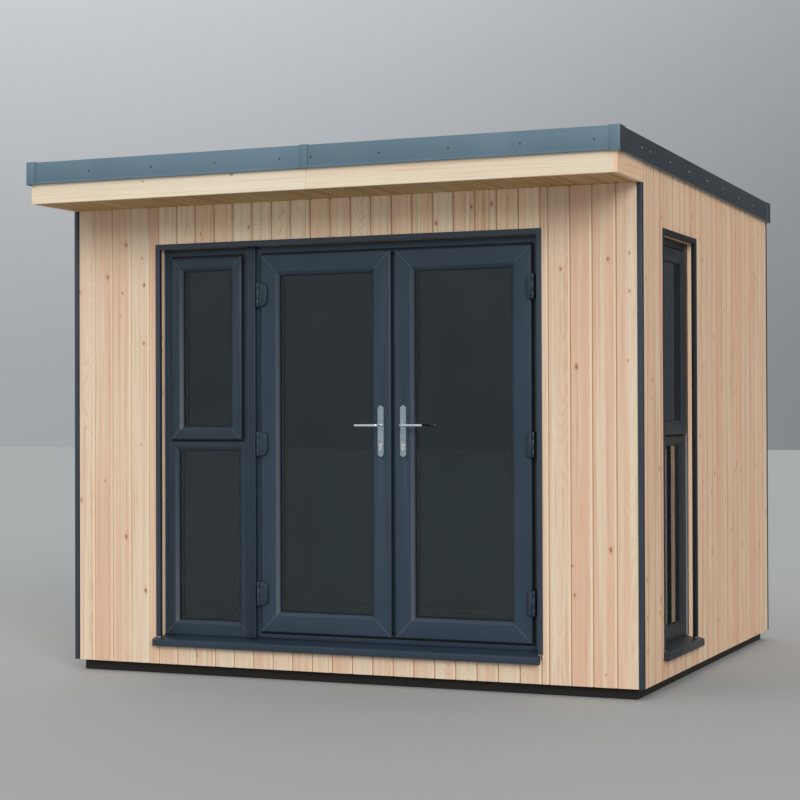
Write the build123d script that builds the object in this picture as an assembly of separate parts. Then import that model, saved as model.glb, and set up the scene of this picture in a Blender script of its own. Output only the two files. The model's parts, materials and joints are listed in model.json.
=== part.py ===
from build123d import *
import os

# Garden office pod: a timber-clad insulated box with a flat roof falling to the back,
# a front overhang, a glazed front with French doors and a side light, and one side window.
# Millimetres. +X to the right seen from the front, +Y to the back, +Z up.
# The origin is on the ground in the middle of the overall footprint.

# overall sizes, between the outer faces of the cladding
width = 2884.0
depth = 2520.0
eaves_height = 2200.0
base_height = 50.0
base_setback = 38.0
overhang = 371.0
roof_fall = 1.0 / 84.0

# wall build-up
board_thickness = 16.0
wall_thickness = 140.0
floor_thickness = 109.0
floor_board_thickness = 14.0
corner_trim_width = 22.5

# roof build-up
fascia_height = 92.0
fascia_cover = 60.0
soffit_thickness = 16.0
slab_bottom_rise = 45.0
kerb_width = 45.0
kerb_height = 22.0
membrane_thickness = 3.0
edge_trim_height = 103.0
edge_trim_projection = 15.0
edge_trim_sheet = 2.0
cap_front = 48.0
cap_side = 82.0
cap_proud = 2.5
strap_width = 38.0
trim_end_gap = 4.0

# openings in the walls: half widths, and how far their heads lie below the eaves
opening_half = 960.0
opening_head_drop = 202.5
side_window_half = 282.5
side_window_head_drop = 191.0
side_window_from_front = 634.5
lining_thickness = 12.0
trim_face = 25.0
trim_leg = 15.0
trim_sheet = 3.0

# sills
sill_top = 139.0
sill_back_height = 30.0
sill_nose_out = 30.0
sill_nose_top = 120.0
sill_nose_height = 32.0
sill_nose_sheet = 6.0
sill_soffit = 105.0
sill_left_end = 987.0
sill_right_end = 968.0
side_sill_end = 315.0

# window and door profiles; depths are measured inwards from the cladding face
frame_face_depth = 50.0
frame_back_depth = 120.0
frame_width = 55.0
door_jamb_width = 48.5
frame_groove_width = 13.0
frame_groove_depth = 10.0
groove_under_lip = 3.0
frame_stop = 10.0
frame_stop_thickness = 15.0
threshold_height = 42.0
coupler_gap = 20.0
coupler_cover = 42.0
coupler_groove_width = 4.0
coupler_groove_depth = 3.0
side_light_width = 470.0
transom_bottom = 1044.0
side_transom_bottom = 1064.0
transom_height = 45.0
sash_proud = 20.0
lip_overlap = 10.0
leaf_clearance = 5.0
body_clearance = 6.0
sash_back_depth = 100.0
sash_face = 46.0
leaf_face = 80.0
leaf_gap = 20.0
meeting_offset = 3.0
mullion_behind_lip = 10.0
edge_bevel = 5.0
bead_width = 16.0
bead_depth = 14.0
glass_recess = 20.0
glass_unit_thickness = 28.0
pane_thickness = 4.0
glass_bite = 15.0
glass_edge_gap = 4.0

# hinges
hinge_height = 112.0
hinge_above_leaf_bottom = 181.0
hinge_below_leaf_top = 187.5
pin_outside_lip = 10.0
pin_depth = 22.0
pin_radius = 4.0
pin_clearance = 0.4
knuckle_radius = 7.0
leaf_knuckle = 46.0
knuckle_gap = 0.5
hinge_foot_inside = 4.0
hinge_cover_gap = 8.0
hinge_cover_left = 40.0
hinge_cover_right = 20.0
hinge_cover_proud = 12.0
hinge_corner_share = 0.7
hinge_web = 6.0

# lever handles
handle_from_edge = 46.0
lever_height = 1146.0
plate_width = 31.0
plate_height = 238.0
plate_thickness = 10.0
plate_above_lever = 92.0
plate_bevel = 2.5
lever_radius = 6.5
lever_length = 108.0
lever_standoff = 55.0
lever_bend = 14.0
neck_radius = 8.0
neck_clearance = 0.5
neck_height = 9.0
spindle_radius = 5.0
spindle_hole_radius = 12.0
cylinder_drop = 92.0
cylinder_radius = 8.5
cylinder_slot = 10.0
cylinder_length = 33.0
cylinder_proud = 3.0

# how far a cutting block runs past the piece it cuts, or a joined block into its neighbour
margin = 1.0

front_y = -(depth - overhang) / 2
half_width = width / 2
opening_head = eaves_height - opening_head_drop
side_window_head = eaves_height - side_window_head_drop
inner_half = half_width - wall_thickness
panel_half = half_width - board_thickness
sash_face_depth = frame_face_depth - sash_proud
trim_reach = board_thickness + kerb_width + edge_trim_sheet
structural_half = opening_half + lining_thickness
side_structural_half = side_window_half + lining_thickness


# the right wall's sill stands out further than the roof trim does on the left,
# so the walls' middle plane is moved left of the middle of the footprint
wall_middle = -(sill_nose_out - edge_trim_projection - cap_proud) / 2

front_wall = Pos(wall_middle, front_y, base_height)
right_wall_face = Pos(
    wall_middle + half_width, front_y + side_window_from_front, base_height,
) * Rot(0, 0, 90)


def slab(x0, x1, y0, y1, z0, z1):
    """A block between two corners."""
    return Pos((x0 + x1) / 2, (y0 + y1) / 2, (z0 + z1) / 2) * Box(x1 - x0, y1 - y0, z1 - z0)


def along_x(points, x0, x1):
    """A profile drawn in the Y-Z plane and run from x0 to x1."""
    face = make_face(Polyline(*points, close=True))
    return extrude(Plane.YZ.offset(x0) * face, x1 - x0)


def roof_level(y, rise):
    """Height of a line that falls with the roof; rise is its height at the front above the eaves."""
    start = -overhang - edge_trim_projection
    return eaves_height + rise - (y - start) * roof_fall


def under_roof(x0, x1, y0, y1, z0, rise):
    """A wall or slab whose top follows the roof fall."""
    points = [(y0, z0), (y1, z0), (y1, roof_level(y1, rise)), (y0, roof_level(y0, rise))]
    return along_x(points, x0, x1)


def falling_slab(x0, x1, y0, y1, low_rise, high_rise):
    """A sheet that falls with the roof on both faces."""
    points = [
        (y0, roof_level(y0, low_rise)),
        (y1, roof_level(y1, low_rise)),
        (y1, roof_level(y1, high_rise)),
        (y0, roof_level(y0, high_rise)),
    ]
    return along_x(points, x0, x1)


def mirrored(solid):
    """The same piece on the other side of the middle plane."""
    return mirror(solid, about=Plane.YZ)


# ground, floor and walls, in the front wall's own frame:
# x from the middle, y inwards from the cladding face, z up from the cladding's bottom edge

slab_top_rise = fascia_height + edge_trim_height - edge_trim_sheet - kerb_height


def make_base_plinth():
    return slab(
        -half_width + base_setback, half_width - base_setback,
        base_setback, depth - base_setback, -base_height, 0,
    )


def make_floor_panel():
    return slab(-panel_half, panel_half, board_thickness, depth - board_thickness, 0, floor_thickness)


def make_floor_boards():
    top = floor_thickness + floor_board_thickness
    return slab(-inner_half, inner_half, wall_thickness, depth - wall_thickness, floor_thickness, top)


def make_front_wall_side():
    return under_roof(
        structural_half, inner_half, board_thickness, wall_thickness, floor_thickness, slab_bottom_rise,
    )


def make_front_wall_header():
    head = opening_head + lining_thickness
    return under_roof(
        -structural_half, structural_half, board_thickness, wall_thickness, head, slab_bottom_rise,
    )


def make_back_wall():
    return under_roof(
        -inner_half, inner_half, depth - wall_thickness, depth - board_thickness,
        floor_thickness, slab_bottom_rise,
    )


def make_side_wall():
    return under_roof(
        inner_half, panel_half, board_thickness, depth - board_thickness,
        floor_thickness, slab_bottom_rise,
    )


def window_hole(bottom, outer):
    """The block that cuts the side window through a layer of the right wall."""
    middle = side_window_from_front
    head = side_window_head + lining_thickness
    return slab(
        inner_half - margin, half_width + margin,
        middle - outer, middle + outer, bottom, head,
    )


def make_right_wall():
    return make_side_wall() - window_hole(floor_thickness, side_structural_half)


# cladding: a flat skin the thickness of the boards

cladding_top_rise = fascia_height + fascia_cover


def make_front_cladding_side():
    return slab(structural_half, half_width - corner_trim_width, 0, board_thickness, 0, eaves_height)


def make_front_cladding_header():
    head = opening_head + lining_thickness
    return slab(-structural_half, structural_half, 0, board_thickness, head, eaves_height)


def make_front_cladding_apron():
    return slab(-structural_half, structural_half, 0, board_thickness, 0, sill_soffit)


def make_back_cladding():
    inner = half_width - corner_trim_width
    return under_roof(-inner, inner, depth - board_thickness, depth, 0, cladding_top_rise)


def make_side_cladding():
    return under_roof(
        panel_half, half_width, corner_trim_width, depth - corner_trim_width, 0, cladding_top_rise,
    )


def make_right_cladding():
    return make_side_cladding() - window_hole(sill_soffit, side_structural_half)


def make_corner_trim_front():
    """An angle trim that closes a front corner between the claddings, up to the soffit."""
    size = corner_trim_width
    trim = slab(half_width - size, half_width, 0, size, 0, eaves_height)
    high = eaves_height + margin
    return trim - slab(0, panel_half, board_thickness, 2 * size, -margin, high)


def make_corner_trim_back():
    """The same angle at a back corner, up behind the roof's edge trim."""
    size = corner_trim_width
    high = eaves_height + cladding_top_rise
    trim = under_roof(half_width - size, half_width, depth - size, depth, 0, cladding_top_rise)
    return trim - slab(0, panel_half, depth - 2 * size, depth - board_thickness, -margin, high)


# roof


def make_roof_slab():
    """The insulated roof slab with its raised timber kerb on the front and both sides."""
    front = -overhang + board_thickness
    back = depth - board_thickness
    body = falling_slab(-panel_half, panel_half, front, back, slab_bottom_rise, slab_top_rise)
    kerb_top = slab_top_rise + kerb_height
    kerb = falling_slab(-panel_half, panel_half, front, back, slab_top_rise, kerb_top)
    inside = panel_half - kerb_width
    kerb -= falling_slab(
        -inside, inside, front + kerb_width, back + margin, slab_top_rise - margin, kerb_top + margin,
    )
    return body + kerb


def make_roof_membrane():
    inside = panel_half - kerb_width
    top = slab_top_rise + membrane_thickness
    front = -overhang + board_thickness + kerb_width
    return falling_slab(-inside, inside, front, depth - board_thickness, slab_top_rise, top)


def make_soffit():
    front = -overhang + board_thickness
    return slab(-panel_half, panel_half, front, 0, eaves_height, eaves_height + soffit_thickness)


def make_front_fascia():
    top = eaves_height + fascia_height + fascia_cover
    return slab(-panel_half, panel_half, -overhang, -overhang + board_thickness, eaves_height, top)


def make_fascia_cheek():
    """A side board of the overhang; it covers the fascia's end and the corner trim's top."""
    end = corner_trim_width
    return under_roof(panel_half, half_width, -overhang, end, eaves_height, cladding_top_rise)


def trim_section():
    """Outline of the folded edge trim: offset outwards from the wall face, height from its bottom edge."""
    out = edge_trim_projection
    sheet = edge_trim_sheet
    high = edge_trim_height
    leg = high - sheet - kerb_height + membrane_thickness
    return [
        (0, 0), (out, 0), (out, high), (-trim_reach, high), (-trim_reach, leg),
        (-trim_reach + sheet, leg), (-trim_reach + sheet, high - sheet), (out - sheet, high - sheet),
        (out - sheet, sheet), (0, sheet),
    ]


def make_roof_trim_front():
    """One of the two lengths of front edge trim, which meet under a strap."""
    points = [
        (-overhang - offset, roof_level(-overhang - offset, fascia_height + high))
        for offset, high in trim_section()
    ]
    trim = along_x(points, trim_end_gap / 2, half_width + edge_trim_projection)
    corner = half_width - trim_reach
    leg_end = -overhang + trim_reach
    kerb_top = slab_top_rise + kerb_height
    return trim - falling_slab(
        corner, panel_half, leg_end - edge_trim_sheet, leg_end, slab_top_rise, kerb_top,
    )


def make_roof_trim_side():
    """A side edge trim: its section follows the roof fall from behind the front trim to the back."""
    start = -overhang + trim_reach
    end = depth + edge_trim_projection
    outline = [
        (half_width + offset, roof_level(start, fascia_height + high)) for offset, high in trim_section()
    ]
    plane = Plane(origin=(0, start, 0), x_dir=(1, 0, 0), z_dir=(0, -1, 0))
    face = plane * make_face(Polyline(*outline, close=True))
    return extrude(face, amount=end - start, dir=(0, 1, -roof_fall))


def make_roof_trim_back():
    """The drip trim along the low edge, flush with the roof covering."""
    out = edge_trim_projection
    sheet = edge_trim_sheet
    high = edge_trim_height - kerb_height
    section = [
        (0, 0), (out, 0), (out, high), (-board_thickness, high),
        (-board_thickness, high - sheet), (out - sheet, high - sheet), (out - sheet, sheet), (0, sheet),
    ]
    points = [(depth + offset, roof_level(depth + offset, fascia_height + z)) for offset, z in section]
    end = half_width - trim_reach
    return along_x(points, -end, end)


def make_trim_cap(front):
    """A folded cap over a corner of the edge trim; front is False at the back corners."""
    proud = cap_proud
    side = half_width + edge_trim_projection
    low = fascia_height - proud
    high = fascia_height + edge_trim_height + proud
    if front:
        wide = cap_front
        y0 = -overhang - edge_trim_projection - proud
        y1 = y0 + cap_side
        inner0, inner1 = y0 + proud, y1 + margin
    else:
        wide = cap_side
        y1 = depth + edge_trim_projection + proud
        y0 = y1 - cap_side
        inner0, inner1 = y0 - margin, y1 - proud
    block = falling_slab(side + proud - wide, side + proud, y0, y1, low, high)
    return block - falling_slab(0, side, inner0, inner1, low - margin, high - proud)


def make_trim_strap():
    """The strap over the joint in the front edge trim."""
    front_face = -overhang - edge_trim_projection
    half = strap_width / 2
    low = fascia_height
    high = fascia_height + edge_trim_height + cap_proud
    front = falling_slab(-half, half, front_face - cap_proud, front_face, low, high)
    top = falling_slab(-half, half, front_face, -overhang + trim_reach, high - cap_proud, high)
    return front + top


# openings: trims, linings and sills, in the frame of the wall they stand in


def frame_round(outer, inner, depth0, depth1):
    """A rectangular ring; outer and inner are (left, right, bottom, top)."""
    ring = slab(outer[0], outer[1], depth0, depth1, outer[2], outer[3])
    return ring - slab(inner[0], inner[1], depth0 - margin, depth1 + margin, inner[2], inner[3])


def sill_slope(y):
    """Height of the sill's weathered top at a depth y."""
    share = (y + sill_nose_out) / (frame_face_depth + sill_nose_out)
    return sill_nose_top + (sill_top - sill_nose_top) * share


def make_sill(left, right, half):
    """A sill: a sloped top, a nose that stands out and turns down, and a flat seat under the frame."""
    nose = -sill_nose_out
    under = sill_top - sill_back_height
    section = [
        (nose, sill_nose_top - sill_nose_height), (nose, sill_nose_top),
        (frame_face_depth, sill_top), (frame_back_depth, sill_top), (frame_back_depth, under),
        (board_thickness, under), (board_thickness, sill_soffit),
        (nose + sill_nose_sheet, sill_soffit),
        (nose + sill_nose_sheet, sill_nose_top - sill_nose_height),
    ]
    sill = along_x(section, -left, right)
    far = 2 * half
    for side in (-1, 1):
        ends = sorted((side * half, side * far))
        sill -= slab(ends[0], ends[1], 0, frame_back_depth + margin, 0, sill_top + margin)
    return sill


def make_opening_trim(half, head):
    """A mitred angle trim round the sides and head of an opening."""
    inner = half - trim_sheet
    outer = inner + trim_face
    low = sill_slope(trim_leg)
    top = head - trim_sheet + trim_face
    face = slab(-outer, outer, -trim_sheet, 0, low, top)
    leg = slab(-half, half, -trim_sheet, trim_leg, low, head)
    hole = slab(
        -inner, inner, -trim_sheet - margin, trim_leg + margin, low - margin, head - trim_sheet,
    )
    return (face + leg) - hole


def make_lining(half, head, sill):
    """Timber boards that line an opening from the cladding's face to the room."""
    out = half + lining_thickness
    low = sill_top - sill_back_height
    box = slab(-out, out, 0, wall_thickness, low, head + lining_thickness)
    box -= slab(-half, half, -margin, wall_thickness + margin, low - margin, head)
    return box - sill


# frames, sashes and glass, in the frame of the wall they stand in


def inset(bounds, by):
    """Bounds (left, right, bottom, top) moved inwards by a distance."""
    return (bounds[0] + by, bounds[1] - by, bounds[2] + by, bounds[3] - by)


def tapered_hole(bounds, depth0):
    """The cut inside a bead: it narrows from the face inwards at 45 degrees."""
    middle_x = (bounds[0] + bounds[1]) / 2
    middle_z = (bounds[2] + bounds[3]) / 2
    plane = Plane(origin=(middle_x, depth0, middle_z), x_dir=(1, 0, 0), z_dir=(0, -1, 0))
    wide = Rectangle(bounds[1] - bounds[0], bounds[3] - bounds[2])
    narrow = Rectangle(
        bounds[1] - bounds[0] - 2 * bead_width, bounds[3] - bounds[2] - 2 * bead_width,
    )
    return loft([plane * wide, plane.offset(-bead_depth) * narrow])


def glazing_hole(bounds, face_depth, back_depth):
    """All that is cut away for glass: the beaded hole, the rebate that holds the unit and the room side."""
    sight = inset(bounds, bead_width)
    seat = inset(bounds, bead_width - glass_bite)
    glass0 = face_depth + glass_recess
    glass1 = glass0 + glass_unit_thickness
    hole = tapered_hole(bounds, face_depth)
    hole += slab(
        sight[0], sight[1], face_depth + bead_depth - margin, back_depth + margin, sight[2], sight[3],
    )
    hole += slab(seat[0], seat[1], glass0, glass1, seat[2], seat[3])
    return hole


def make_panes(bounds, face_depth):
    """The two panes of a glazed unit, seated against the front and back of its rebate."""
    seat = inset(bounds, bead_width - glass_bite + glass_edge_gap)
    glass0 = face_depth + glass_recess
    glass1 = glass0 + glass_unit_thickness
    outer = slab(seat[0], seat[1], glass0, glass0 + pane_thickness, seat[2], seat[3])
    inner = slab(seat[0], seat[1], glass1 - pane_thickness, glass1, seat[2], seat[3])
    return [outer, inner]


def bevelled_block(bounds, depth0, depth1):
    """A block with its four front edges bevelled."""
    block = slab(bounds[0], bounds[1], depth0, depth1, bounds[2], bounds[3])
    front = block.faces().sort_by(Axis.Y)[0]
    return chamfer(front.edges(), edge_bevel)


def lip_groove(opening):
    """The groove in a frame's face, round the edge of the lip that laps over its opening."""
    inner = inset(opening, groove_under_lip - lip_overlap)
    outer = inset(inner, -frame_groove_width)
    return frame_round(
        outer, inner, frame_face_depth - margin, frame_face_depth + frame_groove_depth,
    )


def make_window_frame(left, right, head, transom):
    """An outer frame with a transom: the upper light takes a sash, the lower one is glazed direct."""
    upper, lower = window_lights(left, right, head, transom)
    frame = slab(left, right, frame_face_depth, frame_back_depth, sill_top, head)
    stop = inset(upper, frame_stop)
    stop_depth = frame_back_depth - frame_stop_thickness
    face = frame_face_depth - margin
    frame -= slab(upper[0], upper[1], face, stop_depth, upper[2], upper[3])
    frame -= slab(
        stop[0], stop[1], stop_depth - margin, frame_back_depth + margin, stop[2], stop[3],
    )
    frame -= lip_groove(upper)
    return frame - glazing_hole(lower, frame_face_depth, frame_back_depth)


def window_lights(left, right, head, transom):
    """The openings above and below a transom, which is given by the height of its bottom."""
    x0 = left + frame_width
    x1 = right - frame_width
    upper = (x0, x1, transom + transom_height, head - frame_width)
    lower = (x0, x1, sill_top + frame_width, transom)
    return upper, lower


def make_sash(opening):
    """A fixed-closed top sash: a lip that laps over the frame, a body inside it and a beaded glass hole."""
    lip = inset(opening, -lip_overlap)
    body = inset(opening, body_clearance)
    sash = bevelled_block(lip, sash_face_depth, frame_face_depth)
    sash += slab(body[0], body[1], frame_face_depth - margin, sash_back_depth, body[2], body[3])
    return sash - glazing_hole(inset(lip, sash_face), sash_face_depth, sash_back_depth)


def sash_panes(opening):
    lip = inset(opening, -lip_overlap)
    return make_panes(inset(lip, sash_face), sash_face_depth)


# the front glazing

light_left = -opening_half
light_right = light_left + side_light_width
door_left = light_right + coupler_gap
door_right = opening_half
door_opening = (
    door_left + door_jamb_width, door_right - door_jamb_width,
    sill_top + threshold_height, opening_head - frame_width,
)
meeting = (door_opening[0] + door_opening[1]) / 2 + meeting_offset


def make_door_frame():
    frame = frame_round(
        (door_left, door_right, sill_top, opening_head), door_opening,
        frame_face_depth, frame_back_depth - frame_stop_thickness,
    )
    stop = inset(door_opening, frame_stop)
    frame += frame_round(
        (door_left, door_right, sill_top, opening_head), stop,
        frame_back_depth - frame_stop_thickness, frame_back_depth,
    )
    return frame - lip_groove(door_opening)


def make_coupler():
    """The post that joins the side light to the door frame, with a grooved cover in front."""
    body = slab(light_right, door_left, frame_face_depth, frame_back_depth, sill_top, opening_head)
    middle = (light_right + door_left) / 2
    half = coupler_cover / 2
    step = coupler_cover / 6
    cover = slab(
        middle - half, middle + half, sash_face_depth, frame_face_depth, sill_top, opening_head,
    )
    wide = coupler_groove_width / 2
    for x in (middle - step, middle + step):
        cover -= slab(
            x - wide, x + wide, sash_face_depth - margin, sash_face_depth + coupler_groove_depth,
            sill_top - margin, opening_head + margin,
        )
    return cover + body


# French doors


def leaf_bounds(side):
    """Outer bounds of a leaf's lip; side is -1 for the left leaf and 1 for the right leaf."""
    low = door_opening[2] - lip_overlap
    high = door_opening[3] + lip_overlap
    if side < 0:
        return (door_opening[0] - lip_overlap, meeting - leaf_gap / 2, low, high)
    return (meeting + leaf_gap / 2, door_opening[1] + lip_overlap, low, high)


def leaf_body(side):
    """Outer bounds of the leaf behind its lip."""
    body = inset(door_opening, body_clearance)
    lip = leaf_bounds(side)
    if side < 0:
        return (body[0], lip[1] - body_clearance, body[2], body[3])
    return (lip[0] + body_clearance, body[1], body[2], body[3])


def lever_axis(side):
    lip = leaf_bounds(side)
    return lip[1] - handle_from_edge if side < 0 else lip[0] + handle_from_edge


def rod(x, z, radius, y0, y1):
    """A round bar that runs inwards from depth y0 to depth y1."""
    return Pos(x, (y0 + y1) / 2, z) * Rot(90, 0, 0) * Cylinder(radius, y1 - y0)


def make_leaf(side):
    """A glazed leaf; the right one also carries the strip that closes the gap where the leaves meet."""
    lip = leaf_bounds(side)
    body = leaf_body(side)
    leaf = bevelled_block(lip, sash_face_depth, frame_face_depth - leaf_clearance)
    leaf += slab(
        body[0], body[1], frame_face_depth - leaf_clearance - margin, sash_back_depth,
        body[2], body[3],
    )
    if side > 0:
        leaf += slab(
            lip[0] - mullion_behind_lip, body[0] + margin, frame_face_depth - leaf_clearance,
            sash_back_depth, body[2], body[3],
        )
    leaf -= glazing_hole(inset(lip, leaf_face), sash_face_depth, sash_back_depth)
    return leaf - rod(
        lever_axis(side), lever_height, spindle_hole_radius,
        sash_face_depth - margin, sash_back_depth + margin,
    )


def make_leaf_glass(side):
    return make_panes(inset(leaf_bounds(side), leaf_face), sash_face_depth)


def pin_place(side):
    """Distance of the hinge pin from the middle: just outside the leaf's lip."""
    lip = leaf_bounds(side)
    return lip[0] - pin_outside_lip if side < 0 else lip[1] + pin_outside_lip


def hinge_heights(side):
    """Middle heights of a leaf's three hinges: near its bottom, halfway and near its top."""
    lip = leaf_bounds(side)
    bottom = lip[2] + hinge_above_leaf_bottom
    top = lip[3] - hinge_below_leaf_top
    return (bottom, (bottom + top) / 2, top)


def upright(x, y, radius, z0, z1):
    """A round bar that stands between two heights."""
    return Pos(x, y, (z0 + z1) / 2) * Cylinder(radius, z1 - z0)


def make_frame_hinge(side, height):
    """The fixed half of a hinge: a foot on the frame, two knuckles and the pin."""
    x = pin_place(side)
    low = height - hinge_height / 2
    high = height + hinge_height / 2
    foot0, foot1 = sorted((x - side * hinge_foot_inside, x + side * knuckle_radius))
    hinge = slab(
        foot0, foot1, pin_depth + knuckle_radius + 2 * knuckle_gap, frame_face_depth, low, high,
    )
    for z0, z1 in ((low, height - leaf_knuckle / 2), (height + leaf_knuckle / 2, high)):
        hinge += upright(x, pin_depth, knuckle_radius, z0, z1)
        hinge += slab(foot0, foot1, pin_depth, frame_face_depth, z0, z1)
    return hinge + upright(x, pin_depth, pin_radius, low, high)


def make_leaf_hinge(side, height):
    """The moving half of a hinge: a rounded cover on the leaf, a web and a knuckle on the pin."""
    x = pin_place(side)
    wide = hinge_cover_left if side < 0 else hinge_cover_right
    near = x - side * hinge_cover_gap
    far = near - side * wide
    x0, x1 = sorted((near, far))
    low = height - hinge_height / 2
    high = height + hinge_height / 2
    face = sash_face_depth
    cover = slab(x0, x1, face - hinge_cover_proud, face, low, high)
    uprights = cover.edges().filter_by(Axis.Y)
    free = uprights.group_by(Axis.X)[-1 if side < 0 else 0]
    cover = fillet(free, wide * hinge_corner_share)
    half = leaf_knuckle / 2 - knuckle_gap
    knuckle = upright(x, pin_depth, knuckle_radius, height - half, height + half)
    web0, web1 = sorted((x, near - side * margin))
    web = slab(
        web0, web1, pin_depth - hinge_web / 2, pin_depth + hinge_web / 2, height - half, height + half,
    )
    hinge = cover + knuckle + web
    return hinge - upright(x, pin_depth, pin_radius + pin_clearance, low, high)


def plate_outline(x, height0, height1, wide, depth_at):
    """A long plate outline with round ends."""
    middle = (height0 + height1) / 2
    plane = Plane(origin=(x, depth_at, middle), x_dir=(1, 0, 0), z_dir=(0, -1, 0))
    return plane * Rot(0, 0, 90) * SlotOverall(height1 - height0, wide)


def make_handle_plate(side, outside):
    """A backplate with bevelled round ends, a collar for the lever's neck and the lock cylinder's nose."""
    x = lever_axis(side)
    top = lever_height + plate_above_lever
    bottom = top - plate_height
    if outside:
        seat, out = sash_face_depth, -1
    else:
        seat, out = sash_back_depth, 1
    sketch = plate_outline(x, bottom, top, plate_width, seat)
    plate = extrude(sketch, amount=plate_thickness, dir=(0, out, 0))
    front = plate.faces().sort_by(Axis.Y)[0 if outside else -1]
    plate = chamfer(front.edges(), plate_bevel)
    y0, y1 = sorted((seat, seat + out * plate_thickness))
    plate -= rod(x, lever_height, neck_radius + neck_clearance, y0, y1)
    nose = seat + out * (plate_thickness + cylinder_proud)
    middle = lever_height - cylinder_drop
    y0, y1 = sorted((seat, nose))
    key = rod(x, middle, cylinder_radius, y0, y1)
    low = middle + cylinder_radius - cylinder_length + cylinder_slot / 2
    key += slab(x - cylinder_slot / 2, x + cylinder_slot / 2, y0, y1, low, middle)
    key += rod(x, low, cylinder_slot / 2, y0, y1)
    return plate + key


def make_lever(side):
    """Both lever handles of a leaf on their common spindle."""
    x = lever_axis(side)
    tip = x + side * lever_length
    lever = rod(
        x, lever_height, spindle_radius, sash_face_depth - plate_thickness,
        sash_back_depth + plate_thickness,
    )
    for out, seat in ((-1, sash_face_depth), (1, sash_back_depth)):
        plate_face = seat + out * plate_thickness
        axis_depth = seat + out * lever_standoff
        neck0, neck1 = sorted((seat + out * neck_clearance, plate_face + out * neck_height))
        lever += rod(x, lever_height, neck_radius, neck0, neck1)
        path = FilletPolyline(
            (x, plate_face, lever_height), (x, axis_depth, lever_height),
            (tip, axis_depth, lever_height), radius=lever_bend,
        )
        section = Plane(origin=path @ 0, z_dir=path % 0) * Circle(lever_radius)
        lever += sweep(section, path=path)
        lever += Pos(tip, axis_depth, lever_height) * Sphere(lever_radius)
    return lever


# the whole pod: node name, then its pieces and the frame they are drawn in


def build_nodes():
    side_head = side_window_head
    half = side_window_half
    front_sill = make_sill(sill_left_end, sill_right_end, structural_half)
    side_sill = make_sill(side_sill_end, side_sill_end, side_structural_half)
    side_transom = side_transom_bottom
    front_upper, front_lower = window_lights(light_left, light_right, opening_head, transom_bottom)
    side_upper, side_lower = window_lights(-half, half, side_head, side_transom)
    front = {
        "base_plinth": [make_base_plinth()],
        "floor_panel": [make_floor_panel()],
        "floor_boards": [make_floor_boards()],
        "front_wall_left": [mirrored(make_front_wall_side())],
        "front_wall_right": [make_front_wall_side()],
        "front_wall_header": [make_front_wall_header()],
        "back_wall": [make_back_wall()],
        "left_wall": [mirrored(make_side_wall())],
        "right_wall": [make_right_wall()],
        "front_cladding_left": [mirrored(make_front_cladding_side())],
        "front_cladding_right": [make_front_cladding_side()],
        "front_cladding_header": [make_front_cladding_header()],
        "front_cladding_apron": [make_front_cladding_apron()],
        "back_cladding": [make_back_cladding()],
        "left_cladding": [mirrored(make_side_cladding())],
        "right_cladding": [make_right_cladding()],
        "corner_trims": [
            make_corner_trim_front(), mirrored(make_corner_trim_front()),
            make_corner_trim_back(), mirrored(make_corner_trim_back()),
        ],
        "roof_slab": [make_roof_slab()],
        "roof_membrane": [make_roof_membrane()],
        "soffit": [make_soffit()],
        "front_fascia": [make_front_fascia()],
        "fascia_cheeks": [make_fascia_cheek(), mirrored(make_fascia_cheek())],
        "roof_trims": [
            make_roof_trim_front(), mirrored(make_roof_trim_front()),
            make_roof_trim_side(), mirrored(make_roof_trim_side()), make_roof_trim_back(),
        ],
        "roof_trim_caps": [
            make_trim_cap(True), mirrored(make_trim_cap(True)),
            make_trim_cap(False), mirrored(make_trim_cap(False)), make_trim_strap(),
        ],
        "opening_trims": [make_opening_trim(opening_half, opening_head)],
        "opening_linings": [make_lining(opening_half, opening_head, front_sill)],
        "sills": [front_sill],
        "door_frame": [make_door_frame()],
        "coupler_post": [make_coupler()],
        "side_light_frame": [
            make_window_frame(light_left, light_right, opening_head, transom_bottom),
        ],
        "side_light_sash": [make_sash(front_upper)],
        "window_glass": sash_panes(front_upper) + make_panes(front_lower, frame_face_depth),
        "frame_hinges": [make_frame_hinge(side, z) for side in (-1, 1) for z in hinge_heights(side)],
    }
    for side, name in ((-1, "left"), (1, "right")):
        front[name + "_door_leaf"] = [make_leaf(side)]
        front[name + "_door_glass"] = make_leaf_glass(side)
        front[name + "_door_hinges"] = [make_leaf_hinge(side, z) for z in hinge_heights(side)]
        front[name + "_handle_plates"] = [make_handle_plate(side, True), make_handle_plate(side, False)]
        front[name + "_lever"] = [make_lever(side)]
    right = {
        "opening_trims": [make_opening_trim(half, side_head)],
        "opening_linings": [make_lining(half, side_head, side_sill)],
        "sills": [side_sill],
        "side_window_frame": [make_window_frame(-half, half, side_head, side_transom)],
        "side_window_sash": [make_sash(side_upper)],
        "window_glass": sash_panes(side_upper) + make_panes(side_lower, frame_face_depth),
    }
    nodes = {name: [front_wall * piece for piece in pieces] for name, pieces in front.items()}
    for name, pieces in right.items():
        nodes.setdefault(name, []).extend(right_wall_face * piece for piece in pieces)
    return nodes


def main():
    os.makedirs("parts", exist_ok=True)
    for name, pieces in build_nodes().items():
        solids = [solid for piece in pieces for solid in piece.solids()]
        shape = solids[0] if len(solids) == 1 else Compound(solids)
        export_step(shape, f"parts/{name}.step")


main()
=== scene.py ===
# %% [markdown]
# # Dressing a garden office pod
# The solid model gives the pod's shape and its moving doors. Here each piece gets what makes it look
# real: separate tongue-and-groove boards, grain, folded metal with screws, welded window profiles,
# sealed double glazing and polished handles. All sizes below are in millimetres until a helper
# turns them into Blender's metres.

# %% open the frame
import json
import math
import random
import bpy
from mathutils import Matrix, Vector

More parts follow.
